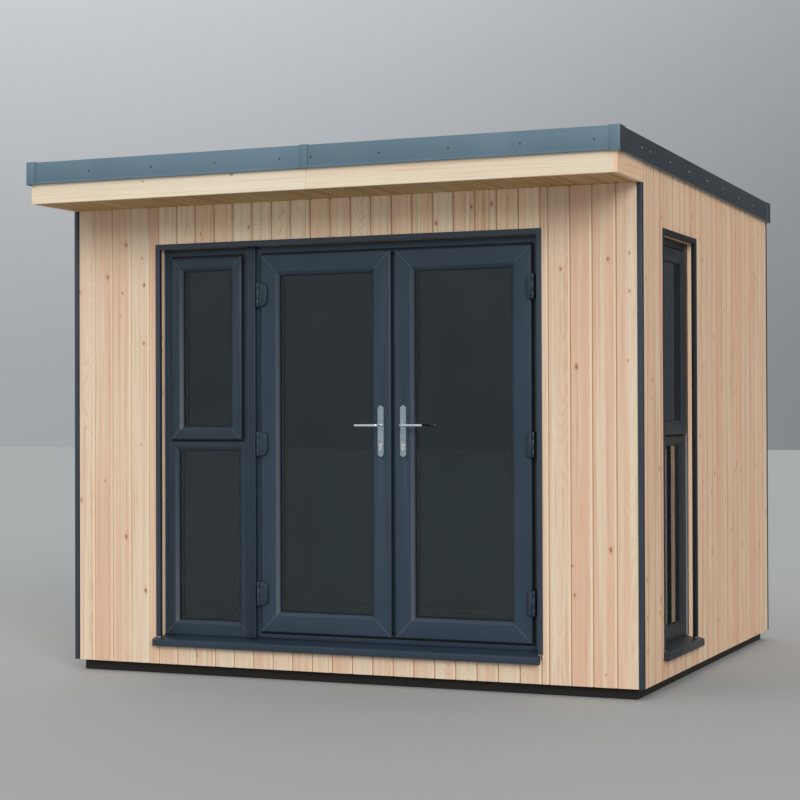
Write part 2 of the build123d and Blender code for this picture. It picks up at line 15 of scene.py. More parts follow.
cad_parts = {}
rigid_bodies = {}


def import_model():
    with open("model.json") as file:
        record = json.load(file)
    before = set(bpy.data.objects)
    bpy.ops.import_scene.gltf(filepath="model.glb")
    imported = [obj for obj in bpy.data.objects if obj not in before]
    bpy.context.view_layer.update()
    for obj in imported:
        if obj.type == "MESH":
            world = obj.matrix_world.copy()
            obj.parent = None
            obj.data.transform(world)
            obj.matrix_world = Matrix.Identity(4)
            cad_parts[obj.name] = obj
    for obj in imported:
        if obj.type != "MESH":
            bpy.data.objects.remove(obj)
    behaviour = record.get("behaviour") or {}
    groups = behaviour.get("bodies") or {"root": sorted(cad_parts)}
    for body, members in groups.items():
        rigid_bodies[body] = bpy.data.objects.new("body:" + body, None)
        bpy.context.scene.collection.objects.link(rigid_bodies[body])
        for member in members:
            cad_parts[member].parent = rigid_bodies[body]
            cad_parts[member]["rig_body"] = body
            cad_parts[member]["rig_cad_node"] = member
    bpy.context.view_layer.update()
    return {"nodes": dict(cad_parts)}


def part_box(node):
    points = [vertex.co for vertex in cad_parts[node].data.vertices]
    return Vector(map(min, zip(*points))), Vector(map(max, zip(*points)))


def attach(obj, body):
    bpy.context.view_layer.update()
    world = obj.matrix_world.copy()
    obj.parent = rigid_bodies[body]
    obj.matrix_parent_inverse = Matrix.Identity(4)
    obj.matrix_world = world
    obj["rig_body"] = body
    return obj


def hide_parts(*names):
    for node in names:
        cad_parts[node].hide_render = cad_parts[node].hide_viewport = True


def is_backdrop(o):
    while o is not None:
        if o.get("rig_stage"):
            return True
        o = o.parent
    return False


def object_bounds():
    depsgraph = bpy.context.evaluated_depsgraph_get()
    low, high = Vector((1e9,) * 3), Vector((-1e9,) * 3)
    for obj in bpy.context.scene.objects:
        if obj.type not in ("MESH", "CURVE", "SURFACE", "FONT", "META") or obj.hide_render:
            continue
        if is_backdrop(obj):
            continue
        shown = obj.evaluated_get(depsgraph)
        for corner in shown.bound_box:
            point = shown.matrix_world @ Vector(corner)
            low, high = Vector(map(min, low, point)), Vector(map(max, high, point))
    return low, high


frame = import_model()
nodes = frame["nodes"]

# %% [markdown]
# ## Four walls, four frames
# A carpenter measures each wall from its own middle and its own face. We do the same: every wall has a
# frame with x along the wall, y inwards from the cladding's face and z up from the cladding's bottom
# edge, and a piece is modelled in that frame, then stood on its wall. That way one recipe serves
# all four walls.

# %% wall frames
MM = 0.001
half_width = (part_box("right_cladding")[1].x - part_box("left_cladding")[0].x) / 2 / MM
middle_x = (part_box("right_wall")[1].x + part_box("left_wall")[0].x) / 2
front_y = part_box("front_cladding_left")[0].y
back_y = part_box("back_cladding")[1].y
bottom_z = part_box("base_plinth")[1].z
eaves = (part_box("front_cladding_left")[1].z - bottom_z) / MM
depth = (back_y - front_y) / MM
side_window_middle = 634.5


def wall_frame(x, y, turn):
    return Matrix.Translation((x, y, bottom_z)) @ Matrix.Rotation(math.radians(turn), 4, "Z")


side_y = front_y + side_window_middle * MM
walls = {
    "front": wall_frame(middle_x, front_y, 0),
    "right": wall_frame(middle_x + half_width * MM, side_y, 90),
    "left": wall_frame(middle_x - half_width * MM, side_y, -90),
    "back": wall_frame(middle_x, back_y, 180),
}
print("walls", round(2 * half_width), "wide", round(depth), "deep", round(eaves), "to the eaves")

# %% [markdown]
# ## The camera
# The photograph is taken from the right with a long lens, a little below the height of the handles.
# The camera's place, its three turns and its lens come from the pod's own straight edges.

# %% camera
camera_place = (3.69675, -9.0706, 1.2326)
yaw, pitch, roll = 0.4025, 0.0091, -0.0033
focal_share = 1903.36 / 800

camera_data = bpy.data.cameras.new("camera")
camera_data.sensor_width = 36
camera_data.lens = focal_share * camera_data.sensor_width
camera_data.clip_end = 200
camera = bpy.data.objects.new("camera", camera_data)
bpy.context.scene.collection.objects.link(camera)
aim = Matrix.Rotation(yaw, 4, "Z") @ Matrix.Rotation(math.pi / 2 + pitch, 4, "X")
camera.matrix_world = Matrix.Translation(camera_place) @ aim @ Matrix.Rotation(roll, 4, "Z")
bpy.context.scene.camera = camera
bpy.context.scene.view_settings.view_transform = "Standard"
print("lens", round(camera_data.lens, 2))

# %% [markdown]
# ## Helpers for materials
# A material is a small graph of nodes. Writing each node and link out in full makes long cells, so this
# helper adds a node, sets its inputs and links in one call. Colours are written as they are read
# off a screen, from 0 to 255, and turned into the linear values that a shader wants.

# %% node helpers


def colour(red, green, blue):
    linear = []
    for value in (red, green, blue):
        share = value / 255
        linear.append(share / 12.92 if share <= 0.04045 else ((share + 0.055) / 1.055) ** 2.4)
    return (*linear, 1)


class Graph:
    """A tree of nodes, with short ways to add to it."""

    def __init__(self, tree):
        self.tree = tree

    def add(self, kind, inputs, output=0, **settings):
        node = self.tree.nodes.new("ShaderNode" + kind)
        for key, value in settings.items():
            setattr(node, key, value)
        for key, value in inputs.items():
            if isinstance(value, bpy.types.NodeSocket):
                self.tree.links.new(value, node.inputs[key])
            else:
                node.inputs[key].default_value = value
        return node.outputs[output]

    def math(self, operation, *values):
        return self.add("Math", dict(enumerate(values)), operation=operation)

    def times(self, first, second):
        return self.math("MULTIPLY", first, second)

    def vector(self, operation, *values, output=0):
        return self.add("VectorMath", dict(enumerate(values)), output, operation=operation)

    def spread(self, value, low, high, to_low=0.0, to_high=1.0):
        """Turns the range low to high into another one, along a soft curve."""
        inputs = {0: value, 1: low, 2: high, 3: to_low, 4: to_high}
        return self.add("MapRange", inputs, interpolation_type="SMOOTHSTEP")


class Recipe(Graph):
    """A material, whose nodes end in one shader."""

    def __init__(self, name, **shader):
        self.material = bpy.data.materials.new(name)
        self.material.use_nodes = True
        super().__init__(self.material.node_tree)
        self.shader = self.tree.nodes["Principled BSDF"]
        for key, value in shader.items():
            self.shader.inputs[key.replace("_", " ")].default_value = value

    def place(self):
        return self.add("TexCoord", {}, output="Object")

    def noise(self, at, scale, detail=2.0, roughness=0.5, output=0):
        inputs = {"Vector": at, "Scale": scale, "Detail": detail, "Roughness": roughness}
        return self.add("TexNoise", inputs, output)

    def blend(self, share, first, second):
        return self.add("Mix", {0: share, 6: first, 7: second}, output=2, data_type="RGBA")

    def paint(self, key, socket):
        self.tree.links.new(socket, self.shader.inputs[key])

    def bump(self, height, distance, strength=1.0):
        inputs = {"Height": height, "Distance": distance, "Strength": strength}
        self.paint("Normal", self.add("Bump", inputs))


# %% [markdown]
# ## The light
# The light is a plain, soft studio: one broad, rather low sun from the front right, and a surround
# that is bright overhead and dim near the ground. The dim band is what windows and polished metal
# mirror, so glass stays dark and chrome gets its contrast. The surround is dimmer to the back
# right, which the side window mirrors.

# %% light
sun_data = bpy.data.lights.new("soft_sun", "SUN")
sun_data.energy = 1.46
sun_data.angle = math.radians(28)
sun = bpy.data.objects.new("soft_sun", sun_data)
sun.rotation_euler = (math.radians(67), 0, math.radians(38))
bpy.context.scene.collection.objects.link(sun)

world = bpy.data.worlds.new("studio")
bpy.context.scene.world = world
world.use_nodes = True
surround = Graph(world.node_tree)
sky = surround.tree.nodes["Background"]
sky.inputs["Color"].default_value = (0.92, 0.96, 1.0, 1)
looking = surround.add("TexCoord", {}, output="Generated")
height = surround.add("SeparateXYZ", {0: looking}, output="Z")
level = surround.spread(height, -0.02, 0.5, 0.4, 0.98)
to_back_right = surround.vector("DOT_PRODUCT", looking, (0.8, 0.6, 0), output="Value")
dimmer = surround.spread(to_back_right, 0.0, 0.85, 1.0, 0.28)
surround.tree.links.new(surround.times(level, dimmer), sky.inputs["Strength"])
print("sun", sun_data.energy)

# %% [markdown]
# ## Planed softwood
# Each board is a different slice of a log. The eye sees that as streaks along the board, faint arches
# where the saw ran close to a ring, a tone of its own for every board, and small reddish knots.
# An image texture would repeat, so all of it is worked out. Each board carries its own centre as
# an attribute, and a random number drawn from that centre moves the pattern and picks the tone.
# A second attribute marks the two bevels of a joint: the one facing left is browned, partly as a dark
# joint and partly as painted shade, and the one facing right gets a painted highlight in the sapwood's
# pale tone.

# %% timber
ring_width = 0.0058
knot_tone, knot_rim_tone, halo_tone = colour(172, 92, 66), colour(128, 66, 48), colour(196, 128, 92)


def timber(
    name, along, pale, warm, late, sapwood_and_highlight=(236, 226, 196), knots=0.3, gloss=0.5, streaks=0.55,
):
    """Planed boards whose grain runs along one axis: 0, 1 or 2 for X, Y or Z."""
    pale, warm, late, sapwood_and_highlight = (colour(*tone) for tone in (pale, warm, late, sapwood_and_highlight))
    wood = Recipe(name, Specular_IOR_Level=0.3)
    centre = wood.add("Attribute", {}, output="Vector", attribute_name="board")
    joint = wood.add("Attribute", {}, output="Fac", attribute_name="joint")
    place = wood.place()
    seed = wood.add("TexWhiteNoise", {"Vector": centre}, output="Color")
    board_tone = wood.add("TexWhiteNoise", {"Vector": centre}, output="Value")
    moved = wood.vector("ADD", place, wood.vector("MULTIPLY", seed, (9.0, 9.0, 9.0)))

    # a flat map of the board's face: distance across it and along it
    axes = wood.add("SeparateXYZ", {0: moved}).node.outputs
    across = wood.math("ADD", *(axes[i] for i in range(3) if i != along))

    def flat(across_scale, along_scale):
        inputs = {0: wood.times(across, across_scale), 1: wood.times(axes[along], along_scale)}
        return wood.add("CombineXYZ", inputs)

    def grain(across_scale, along_scale, detail, roughness):
        return wood.noise(flat(across_scale, along_scale), 1.0, detail, roughness)

    # small knots: some cells of a cell pattern hold one each
    cell = {"Vector": flat(9.5, 5.6), "Scale": 1.0}
    cells = wood.add("TexVoronoi", cell, voronoi_dimensions="2D").node.outputs
    pick = wood.add("SeparateColor", {0: cells["Color"]}, output="Red")
    has_knot = wood.math("LESS_THAN", pick, knots)
    near = wood.math("DIVIDE", cells["Distance"], wood.spread(pick, 0.0, knots, 0.02, 0.05))

    def by_knots(distance, close, far, share):
        return wood.times(wood.spread(distance, close, far, share, 0.0), has_knot)

    knot = by_knots(near, 0.7, 1.15, 1.0)
    rim = by_knots(wood.math("ABSOLUTE", wood.math("SUBTRACT", near, 0.9)), 0.0, 0.3, 1.0)
    halo = by_knots(near, 0.9, 3.6, 0.5)
    swell = by_knots(near, 0.6, 5.0, 0.009)

    # rings: distance from a heart that wanders along the log, pushed aside by the knots
    def both_ways(value, reach):
        centred = wood.vector("SUBTRACT", value, (0.5, 0.5, 0.5))
        return wood.vector("MULTIPLY", centred, (reach, reach, reach))

    wander = wood.noise(moved, 1.5, 1.0, output="Color")
    heart = wood.vector("ADD", both_ways(wander, 0.15), both_ways(seed, 0.11))
    heart = wood.vector("ADD", heart, (0.035, 0.035, 0.035))
    from_heart = wood.vector("SUBTRACT", wood.vector("SUBTRACT", place, centre), heart)
    keep = tuple(float(i != along) for i in range(3))
    from_heart = wood.vector("MULTIPLY", from_heart, keep)
    radius = wood.vector("LENGTH", from_heart, output="Value")
    fine = grain(270.0, 7.0, 3.0, 0.6)
    ring = wood.math("DIVIDE", wood.math("ADD", radius, swell), ring_width)
    ring = wood.math("FRACT", wood.math("ADD", ring, wood.times(fine, 0.4)))
    late_line = wood.times(wood.spread(ring, 0.3, 0.85), wood.spread(ring, 0.88, 1.0, 1.0, 0.0))

    # the board's own tone with bands along it, then one layer of colour over the other
    bands = grain(34.0, 0.55, 2.0, 0.5)
    threads = grain(120.0, 1.3, 3.0, 0.6)
    sapwood = grain(24.0, 0.35, 2.0, 0.6)
    tone = wood.math("ADD", wood.times(board_tone, 0.55), wood.times(bands, 0.85))
    body = wood.blend(wood.spread(tone, 0.4, 0.9), pale, warm)
    for share, over in (
        (wood.spread(sapwood, 0.47, 0.62, 0.0, 0.8), wood.blend(0.5, pale, sapwood_and_highlight)),
        (wood.spread(threads, 0.52, 0.7, 0.0, streaks), late),
        (wood.times(late_line, wood.spread(bands, 0.35, 0.65, 0.06, 0.3)), late),
        (wood.spread(fine, 0.6, 0.85, 0.0, 0.2), late),
        (halo, wood.blend(0.5, late, halo_tone)),
        (wood.times(knot, 0.9), knot_tone),
        (wood.times(rim, 0.85), knot_rim_tone),
        # joint attribute: dark joint with painted shade on bevels facing left, painted highlight on
        # bevels facing right
        (joint, late),
        (wood.times(joint, -0.9), sapwood_and_highlight),
    ):
        body = wood.blend(share, body, over)
    wood.paint("Base Color", body)
    wood.paint("Roughness", wood.spread(threads, 0.2, 0.8, gloss, gloss + 0.16))
    relief = wood.math("ADD", wood.times(late_line, -0.4), wood.times(fine, 0.6))
    wood.bump(wood.math("ADD", relief, wood.times(knot, 0.7)), 0.0004)
    return wood.material


# %% kinds of timber, each with its pale, warm and dark tone
# sunlit: a lighter copy of the larch for the fascia cheeks, the reveals and the side window's head,
# painted sunlight
sunlit = (254, 226, 192), (250, 206, 168), (216, 162, 120)
upright_boards = timber("larch_upright", 2, (235, 214, 186), (230, 189, 160), (204, 148, 108))
# the header boards under the overhang are a paler, more streaked copy: painted light against the
# overhang's shade
header_boards = timber(
    "larch_upright_pale", 2, (255, 237, 206), (252, 212, 176), (196, 140, 98), streaks=0.8,
)
side_boards = timber(
    "larch_upright_warm", 2, (248, 218, 184), (244, 194, 158), (166, 102, 66), streaks=0.72,
)
depth_boards = timber("larch_front_to_back", 1, *sunlit)
reveal_boards = timber("larch_reveal", 2, *sunlit)
# the soffit boards are a darker, browner copy of the larch: painted shade under the overhang
soffit_boards = timber(
    "larch_overhead", 1, (192, 160, 106), (182, 138, 86), (134, 86, 48), sapwood_and_highlight=(222, 196, 150),
)
level_boards = timber("larch_level", 0, (245, 229, 203), (241, 221, 193), (216, 166, 122))
black_timber = timber(
    "base_timber", 0, (30, 28, 27), (38, 34, 31), (18, 17, 16), sapwood_and_highlight=(36, 34, 32), knots=0.0,
)
floor_oak = timber(
    "floor_oak", 0, (176, 150, 118), (150, 122, 92), (110, 84, 60), sapwood_and_highlight=(186, 160, 128),
    knots=0.2, gloss=0.35,
)
print("kinds of timber", len(bpy.data.materials))

# %% [markdown]
# ## Coated metal, foiled plastic and the rest
# The roof and corner trims are folded sheet with a baked powder coat: nearly one colour, with a fine
# orange-peel skin that breaks up every highlight. The window profiles carry a printed foil with
# a leathery grain. Both are mostly about roughness and a very small bump, so that is where
# their detail goes. Faces that look out to the two long sides get a darker copy of their coat,
# which is painted shade and painted reflection, and so do the frames of the front side light
# and the side window. The pale front coat of the roof trims is partly painted sky reflection.

# %% coated and moulded finishes


def coated(name, base, other, skin, rough, metal=0.0, patch=3.0):
    """Two near colours in soft patches, uneven gloss, and a skin: the scale and depth of its grain."""
    coat = Recipe(name, Metallic=metal)
    place = coat.place()
    patches = coat.spread(coat.noise(place, patch, 4.0, 0.6), 0.3, 0.7)
    coat.paint("Base Color", coat.blend(patches, colour(*base), colour(*other)))
    smudge = coat.noise(place, patch * 7, 3.0, 0.6)
    coat.paint("Roughness", coat.spread(smudge, 0.3, 0.7, rough, rough + 0.1))
    coat.bump(coat.noise(place, skin[0]), skin[1])
    return coat.material


powder, leather, satin = (700, 0.00012), (420, 0.0002), (600, 0.0001)
turned, matt, smeared = (500, 0.0001), (900, 0.0001), (160, 0.0006)
# the roof trims' pale front coat is partly painted sky reflection; the side coats are darker copies that
# paint shade and reflection on sideways faces
roof_metal = coated("roof_trim_coat", (95, 119, 133), (103, 127, 141), powder, 0.38)
roof_metal_side_shade = coated("roof_trim_side_coat", (50, 58, 64), (54, 62, 68), powder, 0.6)
corner_metal = coated("corner_trim_coat", (48, 59, 72), (52, 63, 76), powder, 0.38)
corner_metal_side_shade = coated("corner_trim_side_coat", (24, 28, 33), (28, 32, 37), powder, 0.5)
foil = coated("profile_foil", (38, 55, 70), (42, 59, 74), leather, 0.38)
# a darker copy of the foil for the coupler and the side light: painted shade
side_light_shaded_foil = coated("side_light_foil", (33, 48, 60), (37, 52, 64), leather, 0.38)
# a darker, greyer copy of the foil for the side window: painted shade and reflection
side_window_shaded_foil = coated("side_profile_foil", (34, 40, 44), (38, 44, 48), leather, 0.44)
sill_skin = coated("sill_skin", (40, 54, 68), (44, 58, 72), satin, 0.28)
# darker copy of the sill skin: painted shade on sideways faces and on the side window's sill
sill_skin_side_shade = coated("side_sill_skin", (34, 41, 47), (38, 45, 51), satin, 0.4)
hinge_coat = coated("hinge_coat", (30, 48, 61), (34, 53, 66), (800, 0.0001), 0.34)
rubber = coated("seal_rubber", (16, 17, 19), (22, 23, 25), matt, 0.6)
spacer_metal = coated("spacer_bar", (84, 90, 94), (98, 104, 108), matt, 0.4, metal=0.2)
brown_sealant = coated("brown_sealant", (92, 66, 48), (122, 92, 68), (260, 0.0005), 0.5, patch=30)
sealant = coated("frame_sealant", (206, 200, 190), (186, 176, 164), smeared, 0.5)
# the grey bead's pale tone paints the highlight along the frame's outer edge
grey_sealant = coated("grey_sealant", (138, 148, 154), (122, 132, 140), smeared, 0.5)
# the lacquer line is lighter than the foil: a painted highlight along the weld, and on the trim mitres
# partly the pale cut edge
weld = coated("weld_line", (92, 112, 126), (102, 122, 136), (300, 0.0002), 0.3)
screw_metal = coated("screw_head", (60, 72, 82), (92, 104, 112), turned, 0.28, 0.6, 90)
# the side screws are a lighter copy of the screw heads: painted highlight
side_screw_highlight = coated("worn_screw_head", (168, 174, 178), (190, 194, 196), turned, 0.3, 0.8, 90)
nail_metal = coated("nail_head", (150, 146, 138), (120, 112, 100), turned, 0.4, 0.8, 90)
chrome = coated("polished_chrome", (226, 232, 236), (240, 244, 246), (90, 0.0002), 0.1, 1.0)
# the plates' bluish tint is painted sky reflection
plate_chrome = coated("plate_chrome", (188, 203, 214), (216, 227, 234), (24, 0.0012), 0.05, 1.0, 14)
# the barrels' pale tone and low metalness are partly painted reflection of the sky
lock_metal = coated("lock_barrel", (232, 226, 220), (214, 206, 198), (400, 0.00005), 0.2, 0.4)
lining_paint = coated("lining_paint", (150, 150, 146), (158, 158, 153), (260, 0.0003), 0.55)
floor_sheet = coated("floor_underside", (96, 84, 68), (76, 66, 54), (140, 0.0004), 0.7, patch=12)
print("finishes", len(bpy.data.materials))

# %% [markdown]
# ## Clear glass
# Float glass is made as a solid slab that light bends through, so it needs real thickness and a
# refractive shader. A very faint waviness keeps its reflections from looking like a mirror's.

# %% glass
clear = Recipe("clear_glass", Roughness=0.0, IOR=1.45, Transmission_Weight=1.0)
spot = clear.place()
tint = clear.spread(clear.noise(spot, 1.4), 0.3, 0.7)
clear.paint("Base Color", clear.blend(tint, colour(190, 208, 214), colour(198, 214, 220)))
clear.bump(clear.noise(spot, 1.6, 0.0), 0.0002, 0.15)
clear_glass = clear.material
print(clear_glass.name)

# %% [markdown]
# ## The roof covering
# The roof is covered with rubber sheet, rolled out and stuck down, so it shows a dull black, a chalky
# bloom and long shallow wrinkles.

# %% roof covering
sheet = Recipe("roof_rubber", Specular_IOR_Level=0.4)
spot = sheet.place()
bloom = sheet.noise(spot, 2.2, 6.0, 0.65)
chalk = sheet.spread(bloom, 0.35, 0.75)
sheet.paint("Base Color", sheet.blend(chalk, colour(44, 45, 47), colour(74, 75, 76)))
sheet.paint("Roughness", sheet.spread(bloom, 0.3, 0.7, 0.6, 0.8))
wrinkle = sheet.noise(sheet.vector("MULTIPLY", spot, (5.0, 0.8, 1.0)), 1.0, 3.0, 0.55)
sheet.bump(sheet.math("ADD", wrinkle, sheet.times(sheet.noise(spot, 500), 0.03)), 0.012)
roof_rubber = sheet.material
print(roof_rubber.name)

# %% [markdown]
# ## Helpers for modelling
# Modelling by hand means: add a block at its size, select the edges or faces that need work, and run one
# tool on them. These helpers do just that. An operator works on all that is selected, so each
# one first clears the selection.

# %% modelling helpers


def only(*pieces):
    """Selects these pieces and nothing else."""
    bpy.ops.object.select_all(action="DESELECT")
    for piece in pieces:
        piece.select_set(True)
    bpy.context.view_layer.objects.active = pieces[0]


def settle(piece):
    """Puts the piece's place, turn and size into its mesh."""
    only(piece)
    bpy.ops.object.transform_apply(location=True, rotation=True, scale=True)
    return piece


def block(x, y, z, turn=(0, 0, 0)):
    """A box between two values on each axis, in either order."""
    low, high = (Vector(corner) * MM for corner in zip(*map(sorted, (x, y, z))))
    bpy.ops.object.select_all(action="DESELECT")
    bpy.ops.mesh.primitive_cube_add(size=1, location=(low + high) / 2, rotation=turn)
    piece = bpy.context.active_object
    piece.scale = high - low
    return settle(piece)


def disc(centre, radius, length, sides=32):
    """A round bar that lies front to back, with its middle at a point."""
    bpy.ops.object.select_all(action="DESELECT")
    bpy.ops.mesh.primitive_cylinder_add(
        vertices=sides, radius=radius * MM, depth=length * MM,
        location=Vector(centre) * MM, rotation=(math.pi / 2, 0, 0),
    )
    return settle(bpy.context.active_object)


def choose(piece, kind, test):
    """Goes into edit mode with the parts selected whose middle and direction pass a test."""
    only(piece)
    bpy.ops.object.mode_set(mode="EDIT")
    bpy.ops.mesh.select_mode(type=kind)
    bpy.ops.mesh.select_all(action="DESELECT")
    bpy.ops.object.mode_set(mode="OBJECT")
    mesh = piece.data
    if kind == "EDGE":
        for edge in mesh.edges:
            first, last = (mesh.vertices[i].co / MM for i in edge.vertices)
            edge.select = test((first + last) / 2, (last - first).normalized())
    elif kind == "FACE":
        for face in mesh.polygons:
            face.select = test(face.center / MM, face.normal)
    else:
        for vertex in mesh.vertices:
            vertex.select = test(vertex.co / MM, None)
    bpy.ops.object.mode_set(mode="EDIT")


def done():
    bpy.ops.object.mode_set(mode="OBJECT")


def round_edges(piece, test, width, segments=2, profile=0.5):
    """Bevels the edges that pass a test; a profile under 0.5 is flatter than a quarter circle."""
    choose(piece, "EDGE", test)
    bpy.ops.mesh.bevel(offset=width * MM, segments=segments, profile=profile, affect="EDGES")
    done()
    return piece


def step_face(piece, test, margin, move):
    """Insets the faces that pass a test by a margin and moves their middles out or in."""
    choose(piece, "FACE", test)
    bpy.ops.mesh.inset(thickness=margin * MM)
    offset = tuple(value * MM for value in move)
    bpy.ops.mesh.extrude_region_move(TRANSFORM_OT_translate={"value": offset})
    done()
    return piece


def pull_points(piece, test, rise):
    """Lifts the points that pass a test."""
    choose(piece, "VERT", test)
    bpy.ops.transform.translate(value=(0, 0, rise * MM))
    done()


def cut(piece, cutter):
    """Takes one piece out of another."""
    only(piece)
    notch = piece.modifiers.new("cut", "BOOLEAN")
    notch.object = cutter
    notch.operation = "DIFFERENCE"
    notch.solver = "EXACT"
    bpy.ops.object.modifier_apply(modifier=notch.name)
    bpy.data.objects.remove(cutter)
    return piece


def copy_of(piece, move=(0, 0, 0), turn=0.0):
    """A copy with a mesh of its own, turned about z and moved."""
    twin = piece.copy()
    twin.data = piece.data.copy()
    bpy.context.scene.collection.objects.link(twin)
    twin.data.transform(Matrix.Translation(Vector(move) * MM) @ Matrix.Rotation(turn, 4, "Z"))
    return twin


def stand(piece, wall="front"):
    """Stands a piece that was modelled in a wall's own frame on that wall."""
    piece.matrix_world = walls[wall]
    return settle(piece)


def inset(bounds, by):
    """Bounds (left, right, bottom, top) moved inwards by a distance."""
    return (bounds[0] + by, bounds[1] - by, bounds[2] + by, bounds[3] - by)


def ring(bounds, wide, y0, y1):
    """A rectangular ring inside these bounds: a block whose front and back are inset and joined."""
    piece = block(bounds[:2], (y0, y1), bounds[2:])
    choose(piece, "FACE", lambda m, n: abs(n.y) > 0.99)
    bpy.ops.mesh.inset(thickness=wide * MM, use_individual=True)
    bpy.ops.mesh.bridge_edge_loops()
    bpy.ops.mesh.select_all(action="SELECT")
    bpy.ops.mesh.normals_make_consistent(inside=False)
    done()
    return piece


def extent(node, wall="front"):
    """Left, right, bottom and top of a solid, in millimetres in a wall's frame."""
    ends = [walls[wall].inverted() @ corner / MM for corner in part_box(node)]
    return (*sorted(end.x for end in ends), *sorted(end.z for end in ends))


def mark_board(piece):
    """Writes the piece's own middle on all its points, for the timber to read."""
    points = [vertex.co for vertex in piece.data.vertices]
    low = Vector(min(p[i] for p in points) for i in range(3))
    high = Vector(max(p[i] for p in points) for i in range(3))
    spots = piece.data.attributes.new("board", "FLOAT_VECTOR", "POINT")
    for value in spots.data:
        value.vector = (low + high) / 2
    return piece


def hand_over(pieces, name, slot, material, *stands_for, body="pod"):
    """Joins pieces into one, gives it its finish, and tells which body it rides on."""
    only(*pieces)
    if len(pieces) > 1:
        bpy.ops.object.join()
    piece = bpy.context.active_object
    piece.name = name
    piece.data.name = name
    piece.data.materials.clear()
    piece.data.materials.append(material)
    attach(piece, body)
    if stands_for:
        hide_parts(*stands_for)
    return piece


# %% [markdown]
# ## One board
# The cladding is tongue-and-groove board, 16 mm thick, that shows about 102 mm. Its front arrises are
# planed off, so two boards make a small V. We take a block, bevel the two long front edges,
# draw a tongue out of one side and sink a groove in the other. The tongue closes the joint to
# the eye, as it does to the rain.

# %% a board
random.seed(7)
board_thickness = 16
board_gap = 0.3
v_joint = 7.0
tongue_length = 5.0
tongue_inset = 3.0
groove_inset = 2.7
# shares of joint colour: dark joint with painted shade, more of it where boards are covered, and a
# painted highlight on right-facing bevels
open_dark_joint_and_shade, covered_dark_joint_and_shade, lit_bevel_highlight = 0.6, 0.9, -0.6


def board(x0, x1, z0, z1, dark_joint_and_shade):
    """A tongue-and-groove board: its left bevel gets dark joint and painted shade, its right bevel
    painted highlight.
    """
    proud = random.uniform(0, 0.5)
    piece = block((x0 + board_gap, x1 - board_gap), (proud, board_thickness), (z0, z1))
    round_edges(piece, lambda m, d: m.y < proud + 0.01 and abs(d.z) > 0.9, v_joint, 1)
    # painted shade and dark joint on the bevel facing left, painted highlight on the bevel facing right
    shaded = piece.data.attributes.new("joint", "FLOAT", "FACE")
    for value, face in zip(shaded.data, piece.data.polygons):
        slanted = -0.9 < face.normal.y < -0.3
        value.value = (dark_joint_and_shade if face.normal.x < 0 else lit_bevel_highlight) if slanted else 0
    step_face(piece, lambda m, n: n.x > 0.99, tongue_inset, (tongue_length, 0, 0))
    return step_face(piece, lambda m, n: n.x < -0.99, groove_inset, (tongue_length + board_gap, 0, 0))


def clad(wall, joints, low, high, dark_joint_and_shade=open_dark_joint_and_shade):
    """Boards between neighbouring joints, from one height to another."""
    pairs = zip(joints, joints[1:])
    return [mark_board(stand(board(x0, x1, low, high, dark_joint_and_shade), wall)) for x0, x1 in pairs]


def steps(start, stop, pitch):
    """Joints from start to stop at about the same pitch."""
    count = max(1, round((stop - start) / pitch))
    return [start + (stop - start) * i / count for i in range(count + 1)]


# %% [markdown]
# ## The front cladding
# The joints are read off the photograph: the boards over and under the glazing are short pieces of their
# own, whose joints are browner: dark joints with more painted shade under the overhang and the sill.
# The first and last are ripped narrower to fit.

# %% front boards
corner_trim = 22.5
opening_edge = 972
head_bottom = 2009.5
apron_top = 105
cover = 102.3

left_joints = [-half_width + corner_trim, -1330, -1229, -1125, -1024, -opening_edge]
right_joints = [opening_edge, 1008, 1110, 1211, 1320, half_width - corner_trim]
head_joints = steps(-opening_edge, -463, cover) + [-360, -261, -158, -56, 49, 151, 255, 356]
head_joints += [459, 560, 663, 766, 870, opening_edge]
apron_joints = [-opening_edge, -870, -770, -665, -564, -461, -358] + steps(-256, opening_edge, cover)

for node, joints, low, high, dark_joint_and_shade, grain in (
    ("front_cladding_left", left_joints, 0, eaves, open_dark_joint_and_shade, upright_boards),
    ("front_cladding_right", right_joints, 0, eaves, open_dark_joint_and_shade, upright_boards),
    ("front_cladding_header", head_joints, head_bottom, eaves, covered_dark_joint_and_shade, header_boards),
    ("front_cladding_apron", apron_joints, 0, apron_top, covered_dark_joint_and_shade, upright_boards),
):
    row = clad("front", joints, low, high, dark_joint_and_shade)
    made = hand_over(row, node + "_boards", "larch_boards", grain, node)
    print(made.name, len(joints) - 1, "boards", len(made.data.polygons), "faces")

# %% [markdown]
# ## The side and back cladding
# The side boards are a little wider. Those that meet the window are notched round it, which is one
# boolean cut with a block the size of the hole, and those between its sides are cut in two.

# %% side and back boards
roof_start = -386
roof_fall = 1 / 84
cladding_rise = 152
side_joints = [corner_trim, 75, 189, 296, 403, 515, 629, 723] + steps(829, depth - corner_trim, 106)
window_hole = (-294.5, 294.5, 105, 2021)


def roof_height(y, rise):
    """Height of a line that falls with the roof, at a distance behind the front wall's face."""
    return eaves + rise - (y - roof_start) * roof_fall


def side_row(wall, sign, hole):
    """The boards of one side from front to back; sign tells which way the wall's x runs."""
    row = []
    for ends in zip(side_joints, side_joints[1:]):
        x0, x1 = sorted(sign * (y - side_window_middle) for y in ends)
        top_at = roof_height(ends[1], cladding_rise)
        spans = [(0, top_at)]
        if hole and x0 > hole[0] and x1 < hole[1]:
            spans = [(0, hole[2]), (hole[3], top_at)]
        for low, high in spans:
            piece = board(x0, x1, low, high, open_dark_joint_and_shade)
            if hole and len(spans) == 1 and x0 < hole[1] and x1 > hole[0]:
                cut(piece, block(hole[:2], (-20, 40), hole[2:]))
            row.append(mark_board(stand(piece, wall)))
    return row


